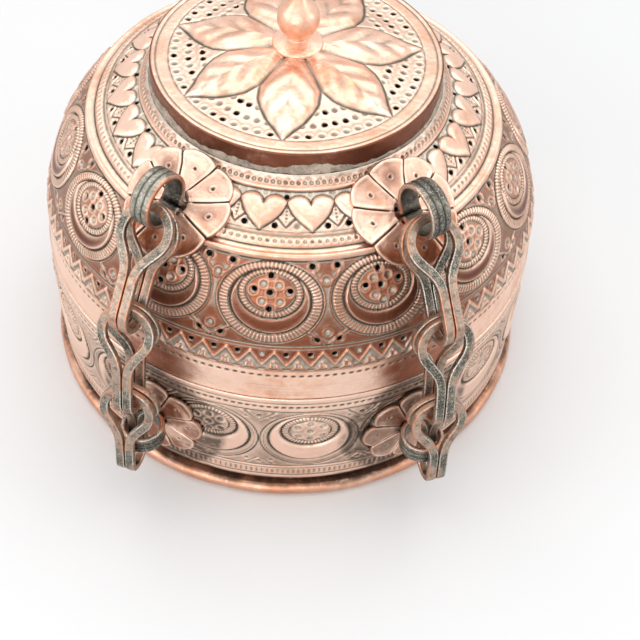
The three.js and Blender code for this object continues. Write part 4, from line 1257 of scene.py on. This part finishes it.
class Shader:
    """Builds a node material from short expressions."""

    def __init__(self, name):
        self.material = bpy.data.materials.new(name)
        self.material.use_nodes = True
        self.tree = self.material.node_tree
        self.shader = self.tree.nodes["Principled BSDF"]

    def node(self, kind, inputs=None, **settings):
        made = self.tree.nodes.new(kind)
        for label, value in settings.items():
            setattr(made, label, value)
        for label, value in (inputs or {}).items():
            self.plug(made.inputs[label], value)
        return made

    def plug(self, socket, value):
        if isinstance(value, Value):
            value = value.socket
        if isinstance(value, bpy.types.NodeSocket):
            self.tree.links.new(value, socket)
        else:
            socket.default_value = value

    def math(self, operation, *values, clamp=False):
        made = self.node("ShaderNodeMath", operation=operation, use_clamp=clamp)
        for socket, value in zip(made.inputs, values):
            self.plug(socket, value)
        return Value(self, made.outputs[0])

    def larger(self, a, b):
        return self.math("MAXIMUM", a, b)

    def hypot(self, a, b):
        return self.math("SQRT", a * a + b * b)

    def ramp(self, value, low, high):
        made = self.node("ShaderNodeMapRange", interpolation_type="SMOOTHSTEP",
                         inputs={"Value": value, "From Min": low, "From Max": high})
        return Value(self, made.outputs["Result"])

    def mix(self, factor, a, b):
        made = self.node("ShaderNodeMix", data_type="RGBA")
        self.plug(made.inputs[0], factor)
        self.plug(made.inputs[6], a)
        self.plug(made.inputs[7], b)
        return Value(self, made.outputs[2])

    def noise(self, scale, detail=4.0, rough=0.55, distortion=0.0):
        made = self.node("ShaderNodeTexNoise", inputs={
            "Vector": self.position(), "Scale": scale, "Detail": detail, "Roughness": rough,
            "Distortion": distortion})
        return Value(self, made.outputs["Fac"])

    def scratches(self):
        """Fine noise drawn out along one slanted direction."""
        stretched = self.node("ShaderNodeMapping", inputs={
            "Vector": self.position(), "Scale": (1.0, 1.0, 6.0), "Rotation": (0.5, 0.4, 0.2)})
        made = self.node("ShaderNodeTexNoise", inputs={
            "Vector": stretched.outputs["Vector"], "Scale": 600.0, "Detail": 3.0})
        return Value(self, made.outputs["Fac"])

    def position(self):
        return self.node("ShaderNodeTexCoord").outputs["Object"]

    def attribute(self, name):
        return Value(self, self.node("ShaderNodeAttribute", attribute_name=name).outputs["Fac"])

    def axes(self):
        split = self.node("ShaderNodeSeparateXYZ", inputs={"Vector": self.position()})
        return [Value(self, socket) for socket in split.outputs]

    def height(self):
        return self.axes()[2]

    def azimuth(self):
        """Angle round the box from the middle of the chain side."""
        x, y = self.axes()[:2]
        return self.math("ARCTAN2", x, y * -1.0)

    def turn(self):
        """The same angle without its sign, since both sides are alike."""
        return self.math("ABSOLUTE", self.azimuth())

    def finish(self, color, roughness, metallic, bump_height=None, bump_distance=0.0002):
        self.plug(self.shader.inputs["Base Color"], color)
        self.plug(self.shader.inputs["Roughness"], roughness)
        self.plug(self.shader.inputs["Metallic"], metallic)
        if bump_height is not None:
            bump = self.node("ShaderNodeBump", inputs={
                "Height": bump_height, "Distance": bump_distance, "Strength": 1.0})
            self.plug(self.shader.inputs["Normal"], bump.outputs["Normal"])
        return self.material


def rgb(r, g, b):
    return (r, g, b, 1.0)


BRIGHT_COPPER = rgb(0.95, 0.66, 0.52)
COPPER = rgb(0.84, 0.43, 0.27)
DULL_COPPER = rgb(0.32, 0.105, 0.05)
DEEP_BROWN = rgb(0.12, 0.038, 0.02)
DARK = rgb(0.06, 0.043, 0.03)
TIN = rgb(0.36, 0.32, 0.26)
TICK_GREY = rgb(0.27, 0.235, 0.185)
FILLING = rgb(0.66, 0.60, 0.51)
PALE_TIN = rgb(0.62, 0.60, 0.56)
STRIP_DARK, STRIP_LIGHT = rgb(0.09, 0.083, 0.065), rgb(0.34, 0.325, 0.27)
STRIP_HATCH, STRIP_PIT = rgb(0.62, 0.59, 0.52), rgb(0.06, 0.05, 0.04)
STRIP_PAINTED_SHADE, STRIP_PAINTED_HIGHLIGHT = rgb(0.03, 0.028, 0.024), rgb(0.85, 0.76, 0.66)
BARE_EDGE, BARE_EDGE_DULL = rgb(0.8, 0.42, 0.27), rgb(0.42, 0.14, 0.07)
TRAY_DULL, TRAY_COPPER = rgb(0.38, 0.36, 0.33), rgb(0.55, 0.3, 0.2)
SOLDER_DULL, SOLDER_PALE = rgb(0.30, 0.26, 0.21), rgb(0.55, 0.47, 0.39)
SOLDER_PIT = rgb(0.12, 0.09, 0.07)


def aged(sh, color, tarnish, crest, patina, tone):
    """Sheet under its brown patina, which on the lid's front and the plate's rim is painted dark
    reflection as well, and the share of the crests' brightness that is left.
    """
    worn_bright = 1.0
    if patina:
        patina_and_painted_dark = patina(sh)
        worn_bright = 1.0 - patina_and_painted_dark * 0.9
        brown = patina_and_painted_dark * sh.ramp(tarnish, 0.3, 0.62) * (1.0 - crest * 0.6)
        color = sh.mix(brown, color, DULL_COPPER)
    if tone:
        shade = sh.attribute("tone") * sh.ramp(tarnish, 0.22, 0.62) * (1.0 - crest * 0.9)
        color = sh.mix(shade * tone, color, DULL_COPPER)
        deepest = sh.ramp(sh.attribute("tone"), 0.65, 0.95) * tone
        color = sh.mix(deepest * sh.ramp(tarnish, 0.25, 0.6), color, DEEP_BROWN)
    return color, worn_bright


def tin_film(sh, recess, crest, fine, grey):
    """What is left of the tin: more in recesses, thin in patches elsewhere."""
    patch = sh.ramp(sh.noise(17, 4, 0.6, 0.8), 0.62 - 0.3 * grey, 0.78 - 0.2 * grey)
    film = sh.ramp(recess, 0.05, 0.35) * sh.ramp(fine, 0.2, 0.55) * min(1.0, 0.7 + grey)
    return sh.larger(film, patch * (0.45 * grey)) * (1.0 - crest * 0.8)


def copper_height(sh, fine, mark):
    """Grain, scratches and wear of the sheet, with the gaps between the teeth sunk in."""
    height = fine * 0.6 + sh.scratches() * 0.3 + sh.noise(120, 3, 0.6, 0.6) * 1.3
    height = height + sh.noise(1500, 3, 0.6) * 0.1
    return height if mark is None else height - mark * 1.3


def copper(name, grey=0.5, dull=0.45, patina=None, ticks=None, tone=0.0, inside=False,
           dirt_and_painted_shade=None):
    """Worn copper: bright on crests, rubbed and with a painted highlight; dull on the open sheet; grey
    and dark in recesses, with tin, dirt and painted shade.
    """
    sh = Shader(name)
    recess = sh.attribute("recess")
    crest = sh.attribute("crest")
    cloud = sh.noise(30, 5, 0.6, 0.4)
    fine = sh.noise(260, 6, 0.65)
    tarnish = cloud * 0.8 + fine * 0.45
    wave = ticks(sh) if ticks else None
    mark = sh.ramp(wave, 0.05, 0.5) if ticks else None

    # Open sheet, from bright to brown, with painted shade darkening the recesses, and the tin that is
    # left on it
    color = sh.mix(sh.ramp(tarnish, 0.86 - dull, 0.98 - dull * 0.4), BRIGHT_COPPER, COPPER)
    color = sh.mix(sh.ramp(cloud + recess * 0.6, 0.5, 1.05) * 0.7, color, DULL_COPPER)
    color, worn_bright = aged(sh, color, tarnish, crest, patina, tone)
    color = sh.mix(tin_film(sh, recess, crest, fine, grey), color, TIN)

    # Pale filling of the punched ground, and dirt with painted shade in the recesses and between the
    # teeth
    grime_and_painted_shade = sh.ramp(recess, 0.3, 0.9) * sh.ramp(fine, 0.15, 0.5)
    if inside:
        filling = sh.attribute("fill") * sh.ramp(fine, 0.3, 0.5)
        color = sh.mix(filling * 0.85, color, FILLING)
        grime_and_painted_shade = grime_and_painted_shade * sh.math("SUBTRACT", 1.0, filling, clamp=True)
    if dirt_and_painted_shade:
        grime_and_painted_shade = sh.larger(grime_and_painted_shade, dirt_and_painted_shade(sh) * sh.ramp(fine, 0.2, 0.5))
    # dark mix: dirt, and painted shade in the recesses
    color = sh.mix(grime_and_painted_shade * 0.88, color, DARK)

    # Crests and teeth: rubbed bright, with a painted highlight on them
    bright = crest * 0.75
    if ticks:
        color = sh.mix(mark * 0.75, color, TICK_GREY)
        bright = sh.larger(bright, sh.ramp(wave * -1.0, 0.15, 0.7) * 0.75)
    # painted highlight, with rubbed copper, on the crests and on the teeth of the milled rings
    color = sh.mix(bright * worn_bright, color, BRIGHT_COPPER)
    if inside:
        color = sh.mix(sh.attribute("inside"), color, sh.mix(cloud, TIN, PALE_TIN))

    roughness = fine * 0.26 + 0.24 + recess * 0.3
    return sh.finish(color, roughness, 0.94, copper_height(sh, fine, mark), 0.00034)


def local_arc(sh, count, phase):
    """Distance in millimetres, round the box, from the middle of the nearest motif."""
    x, y = sh.axes()[:2]
    pitch = 2 * math.pi / count
    turns = (sh.azimuth() - phase) / pitch + 0.5
    local = (sh.math("FRACT", turns) - 0.5) * pitch
    return local * sh.hypot(x, y) / MM


def milled_ring(sh, s, v, middle, outer, inner, count):
    """Ticks across an oval ring between two ovals of (half width, half height)."""
    half_width = (outer[0] + inner[0]) / 2
    half_height = (outer[1] + inner[1]) / 2
    across = s / half_width
    rise = (v - middle) / half_height
    distance = sh.hypot(across, rise)
    wave = sh.math("SINE", sh.math("ARCTAN2", rise, across) * -float(count))
    low, high = inner[0] / half_width, outer[0] / half_width
    within = 1.0 - sh.ramp(distance, high - 0.04, high + 0.01)
    return sh.ramp(distance, low - 0.02, low + 0.03) * within * wave


def lid_ticks(sh):
    """Above zero in the gaps between the teeth, below zero on the teeth."""
    s = local_arc(sh, MEDALLIONS, MEDALLION_PHASE)
    v = (sh.attribute("rise") - MEDALLION_START) * MEDALLION_SCALE
    rings = milled_ring(sh, s, v, *MILLED_RING) + milled_ring(sh, s, v, *MILLED_DISC)
    below = 1.0 - sh.ramp(v, MEDALLION_HEIGHT - 0.5, MEDALLION_HEIGHT)
    return rings * (sh.ramp(v, 0.0, 0.5) * below)


def base_ticks(sh):
    s = local_arc(sh, BASE_MEDALLIONS, BASE_PHASE)
    depth = EDGE_HEIGHT - sh.height() / MM
    return milled_ring(sh, s, depth, *BASE_DISC)


def lid_patina_and_painted_reflection(sh):
    """Brown patina and painted dark reflection, heaviest low on the medallion band and towards the
    chains, on the side that faces the camera.
    """
    rise = sh.attribute("rise")
    low = sh.ramp(rise, ZIGZAG_START - 1.5, ZIGZAG_START + 0.5)
    high = 1.0 - sh.ramp(rise, RIDGE_START - 14, RIDGE_START + 6)
    neck = sh.ramp(rise, NECK_START - 1.0, NECK_START + 1.5)
    # low on the medallion band: patina, with painted dark reflection
    band = low * (high * 0.75 + 0.25)
    band = band * (1.0 - sh.ramp(rise, HEART_START - 4, HEART_START))
    # painted dark reflection: darker on the side that faces the camera
    painted_dark_reflection_front = sh.ramp(sh.turn(), 0.95, 0.6) * 0.88 + 0.12
    return sh.larger(sh.larger(band * painted_dark_reflection_front, neck * 0.3), beside_chains(sh))


def beside_chains(sh):
    """Stains on the upright band where the chains hang."""
    turn = sh.turn() + sh.noise(40, 3, 0.6) * 0.25
    near = sh.ramp(turn, 0.44, 0.56) * sh.ramp(turn, 0.86, 0.76)
    return near * sh.ramp(sh.height(), 0.0945, 0.091)


def base_dirt_and_painted_shadow(sh):
    """Dark grey: painted shade in the groove above the foot, a painted shadow round the rosettes, and
    dirt in blotches.
    """
    z = sh.height()
    blotch = sh.noise(28, 4, 0.6, 0.5)
    # painted shade in the groove above the foot
    groove = sh.ramp(z + blotch * 0.008, 0.0185, 0.0155)
    along = (sh.turn() - BASE_AZIMUTH) * (WALL_RADIUS * MM)
    away = sh.hypot(along, z - BASE_STAPLE_HEIGHT * MM) + blotch * 0.012
    # painted shadow on the wall round the rosette
    rosette_painted_shadow = sh.ramp(away, 0.042, 0.037)
    ground = sh.attribute("tone") * sh.ramp(blotch, 0.42, 0.62)
    return sh.larger(groove, sh.larger(rosette_painted_shadow, ground * 0.65))


def roll_painted_shade(sh):
    """Painted shade along the top of the rolled foot, like that in the groove above it."""
    return sh.ramp(sh.height() + sh.noise(45, 3, 0.6) * 0.006, 0.0082, 0.0104)


def blotches(sh):
    return sh.ramp(sh.noise(38, 4, 0.6, 0.8), 0.42, 0.54)


def lower_petals(sh):
    """Brown on the petals that lie under the chain."""
    edge = sh.height() + sh.noise(45, 4, 0.6) * 0.016
    return sh.ramp(edge, (lid_staple_foot.y + 9) * MM, (lid_staple_foot.y + 1) * MM)


def rim_painted_dark_reflection(sh):
    """A little brown on the plate's upright rim, a painted dark reflection, and hardly any on its top.
    """
    return 0.1 - sh.ramp(sh.attribute("rise"), 8.0, 10.5) * 0.08


def base_patina(sh):
    """Browner towards the table."""
    return sh.ramp(sh.height(), 0.02, 0.0) * 0.3 + 0.04


def pewter(name, copper_share=0.5, bends=False):
    """Grey tinned strip with bare copper on its worn edges, and a painted highlight along them."""
    sh = Shader(name)
    crest = sh.attribute("crest")
    cloud = sh.noise(55, 5, 0.6, 0.5)
    fine = sh.noise(420, 5, 0.6)
    hatch = sh.noise(1500, 2, 0.6)
    color = sh.mix(sh.ramp(cloud, 0.38, 0.62), STRIP_DARK, STRIP_LIGHT)
    color = sh.mix(sh.ramp(hatch, 0.5, 0.62) * 0.45, color, STRIP_HATCH)
    color = sh.mix(sh.ramp(fine, 0.48, 0.66) * 0.65, color, STRIP_PIT)
    low, high = 0.66 - 0.35 * copper_share, 0.8 - 0.25 * copper_share
    wear = crest * sh.ramp(cloud, low, high)
    if bends:
        wear = sh.larger(wear, sh.attribute("bend") * sh.ramp(fine, 0.35, 0.6) * 0.85)
    color = sh.mix(wear, color, sh.mix(fine, BARE_EDGE, BARE_EDGE_DULL))
    # painted highlight along the strip's edges
    painted_highlight = sh.ramp(crest, 0.7, 0.95) * sh.ramp(cloud, 0.56, 0.46) * sh.ramp(hatch, 0.3, 0.5)
    color = sh.mix(painted_highlight * 0.6, color, STRIP_PAINTED_HIGHLIGHT)
    # painted shade in the staples' grooves and on their inner face
    color = sh.mix(sh.attribute("recess") * 0.8, color, STRIP_PAINTED_SHADE)
    return sh.finish(color, fine * 0.25 + 0.26, 0.92, fine + cloud * 0.5 + hatch * 0.5, 0.0003)


def tinned(name, pale=0.5):
    """Dull tin inside the box, on the tray and on the cups."""
    sh = Shader(name)
    fine = sh.noise(380, 5, 0.6)
    light = rgb(0.5 + 0.25 * pale, 0.49 + 0.24 * pale, 0.46 + 0.22 * pale)
    color = sh.mix(sh.noise(45, 5, 0.6, 0.6), TRAY_DULL, light)
    color = sh.mix(sh.ramp(sh.noise(90, 6, 0.7, 1.2), 0.6, 0.75) * 0.55, color, TRAY_COPPER)
    return sh.finish(color, fine * 0.22 + 0.3, 0.9, fine, 0.0002)


def solder(name):
    """Old solder: dull, crusty, grey with a touch of the copper under it."""
    sh = Shader(name)
    cloud = sh.noise(80, 5, 0.65, 0.6)
    fine = sh.noise(600, 5, 0.65)
    color = sh.mix(sh.ramp(cloud, 0.35, 0.65), SOLDER_DULL, SOLDER_PALE)
    color = sh.mix(sh.ramp(fine, 0.5, 0.65) * 0.5, color, SOLDER_PIT)
    return sh.finish(color, fine * 0.3 + 0.5, 0.6, fine + cloud, 0.0006)


lid_copper = copper("lid_copper", 0.25, 0.3, lid_patina_and_painted_reflection, lid_ticks, 0.85, inside=True)
plate_copper = copper("plate_copper", 0.25, 0.35, rim_painted_dark_reflection, tone=0.8, inside=True)
base_copper = copper("base_copper", 0.3, 0.15, base_patina, base_ticks, 0.5, inside=True,
                     dirt_and_painted_shade=base_dirt_and_painted_shadow)
rosette_copper = copper("rosette_copper", 0.35, 0.3, lower_petals, tone=0.6)
base_rosette_copper = copper("base_rosette_copper", 1.0, 0.4, blotches, tone=0.8)
foot_copper = copper("foot_copper", 0.4, 0.5, base_patina, dirt_and_painted_shade=roll_painted_shade)
finial_copper = copper("finial_copper", 0.3, 0.4)
staple_pewter = pewter("staple_pewter", 0.8)
link_pewter = pewter("link_pewter", 0.7, bends=True)
washer_tin = pewter("washer_tin", 0.3)
tray_tin = tinned("tray_tin", 0.4)
cup_tin = tinned("cup_tin", 0.8)
collar_tin = tinned("collar_tin", 0.3)
solder_tin = solder("solder_tin")


# Each piece takes the place of its solid and rides on its body

def dress(piece, node, body, material):
    piece.data.materials.clear()
    piece.data.materials.append(material)
    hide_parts(node)
    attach(piece, body)


dress(lid_dome, "lid_dome", "lid", lid_copper)
dress(top_plate, "lid_top_plate", "lid", plate_copper)
plate_solder.data.materials.append(solder_tin)
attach(plate_solder, "lid")
dress(finial, "finial", "lid", finial_copper)
dress(finial_washer, "finial_washer", "lid", washer_tin)
dress(base_wall, "base_wall", "base", base_copper)
dress(foot_ring, "foot_ring", "base", foot_copper)
dress(base_floor, "base_floor", "base", foot_copper)
dress(lid_collar, "lid_collar", "base", collar_tin)
dress(tray_ledge, "tray_ledge", "base", collar_tin)
dress(tray, "tray", "tray", tray_tin)
dress(tray_knob, "tray_knob", "tray", tray_tin)
dress(tray_knob_washer, "tray_knob_washer", "tray", washer_tin)
for i, piece in enumerate(cups):
    dress(piece, f"cup_{i + 1}", f"cup_{i + 1}", cup_tin)
for pieces, body in ((lid_pieces, "lid"), (base_pieces, "base")):
    for node, piece in pieces.items():
        if "rosette" in node:
            petals = rosette_copper if body == "lid" else base_rosette_copper
            dress(piece, node, body, petals)
        else:
            dress(piece, node, body, staple_pewter)
for body, piece in links.items():
    dress(piece, body, body, link_pewter)
for side in ("left", "right"):
    for where in ("lid", "base"):
        node = frame["nodes"][f"{where}_washer_{side}"]
        node.data.materials.clear()
        node.data.materials.append(washer_tin)


# Floor, light and camera

BACKGROUND = 0.93
FLOOR_SIZE, FLOOR_LEVEL = 3.0, -0.0003
FLOOR_GREYS = rgb(0.765, 0.77, 0.775), rgb(0.785, 0.79, 0.795)
ELEVATION, SWING, TIP, ROLL = (math.radians(a) for a in (45.2, 1.57, -5.36, -2.18))
DISTANCE = 5.10 * EDGE_RADIUS * MM
SENSOR_WIDTH = 36
FOCAL_LENGTH, PICTURE_WIDTH = 1201, 640  # in pixels


def seen_directly(tree):
    """One for camera, glossy and transmission rays, nothing for the light that they don't carry."""
    rays = tree.nodes.new("ShaderNodeLightPath")
    total = rays.outputs["Is Camera Ray"]
    for kind in ("Is Glossy Ray", "Is Transmission Ray"):
        larger = tree.nodes.new("ShaderNodeMath")
        larger.operation = "MAXIMUM"
        tree.links.new(total, larger.inputs[0])
        tree.links.new(rays.outputs[kind], larger.inputs[1])
        total = larger.outputs[0]
    return total


def floor():
    mesh = bpy.data.meshes.new("floor")
    corners = [(a * FLOOR_SIZE, b * FLOOR_SIZE, FLOOR_LEVEL)
               for a, b in ((-1, -1), (1, -1), (1, 1), (-1, 1))]
    mesh.from_pydata(corners, [], [(0, 1, 2, 3)])
    piece = bpy.data.objects.new("floor", mesh)
    bpy.context.scene.collection.objects.link(piece)
    sh = Shader("floor_paper")
    speck = sh.noise(3.0, 2, 0.5)
    color = sh.mix(speck, *FLOOR_GREYS)
    mesh.materials.append(sh.finish(color, 0.8, 0.0))
    sh.shader.inputs["Specular IOR Level"].default_value = 0.2
    x, y = sh.axes()[:2]
    white = sh.node("ShaderNodeEmission", inputs={"Strength": BACKGROUND})
    share = sh.ramp(sh.hypot(x, y), 0.5, 1.4) * seen_directly(sh.tree)
    blend = sh.node("ShaderNodeMixShader", inputs={"Fac": share})
    sh.plug(blend.inputs[1], sh.shader.outputs[0])
    sh.plug(blend.inputs[2], white.outputs[0])
    sh.plug(sh.tree.nodes["Material Output"].inputs["Surface"], blend.outputs[0])


def softbox(name, place, target, size, power):
    light = bpy.data.lights.new(name, "AREA")
    light.shape = "RECTANGLE"
    light.size, light.size_y = size
    light.energy = power
    lamp = bpy.data.objects.new(name, light)
    lamp.location = place
    lamp.rotation_euler = (Vector(target) - Vector(place)).to_track_quat("-Z", "Y").to_euler()
    bpy.context.scene.collection.objects.link(lamp)


def world():
    made = bpy.data.worlds.new("studio")
    made.use_nodes = True
    tree = made.node_tree
    background = tree.nodes["Background"]
    background.inputs["Color"].default_value = (1.0, 1.0, 1.0, 1.0)
    strength = tree.nodes.new("ShaderNodeMapRange")
    strength.inputs["To Min"].default_value = 0.6
    strength.inputs["To Max"].default_value = BACKGROUND
    tree.links.new(seen_directly(tree), strength.inputs["Value"])
    tree.links.new(strength.outputs["Result"], background.inputs["Strength"])
    bpy.context.scene.world = made


def turned(a, b, angle):
    """Two directions turned together in their plane."""
    return a * math.cos(angle) - b * math.sin(angle), a * math.sin(angle) + b * math.cos(angle)


def camera():
    """Camera from the fit to the photograph: a distance and an angle, then three small turns."""
    right = Vector((1, 0, 0))
    back = Vector((0, -math.cos(ELEVATION), math.sin(ELEVATION)))
    up = back.cross(right)
    ahead = -back
    up, ahead = turned(up, ahead, TIP)
    right, ahead = turned(right, ahead, SWING)
    right, up = turned(right, up, ROLL)
    data = bpy.data.cameras.new("camera")
    data.sensor_width = SENSOR_WIDTH
    data.lens = FOCAL_LENGTH * SENSOR_WIDTH / PICTURE_WIDTH
    data.clip_start = 0.01
    made = bpy.data.objects.new("camera", data)
    turn = Matrix((right, up, -ahead)).transposed().to_4x4()
    turn.translation = back * DISTANCE + Vector((0, 0, EDGE_HEIGHT * MM))
    made.matrix_world = turn
    bpy.context.scene.collection.objects.link(made)
    bpy.context.scene.camera = made


floor()
world()
softbox("overhead", (0.0, 0.25, 1.25), (0, 0, 0.1), (1.5, 1.3), 10)
softbox("left_fill", (-1.3, -0.5, 0.7), (0, 0, 0.1), (0.8, 0.8), 5)
softbox("right_fill", (1.3, -0.3, 0.8), (0, 0, 0.1), (0.8, 0.8), 3.5)
softbox("front_fill", (-0.35, -1.5, 0.75), (0, 0, 0.05), (0.9, 0.7), 8)
camera()
bpy.context.scene.view_settings.view_transform = "Standard"
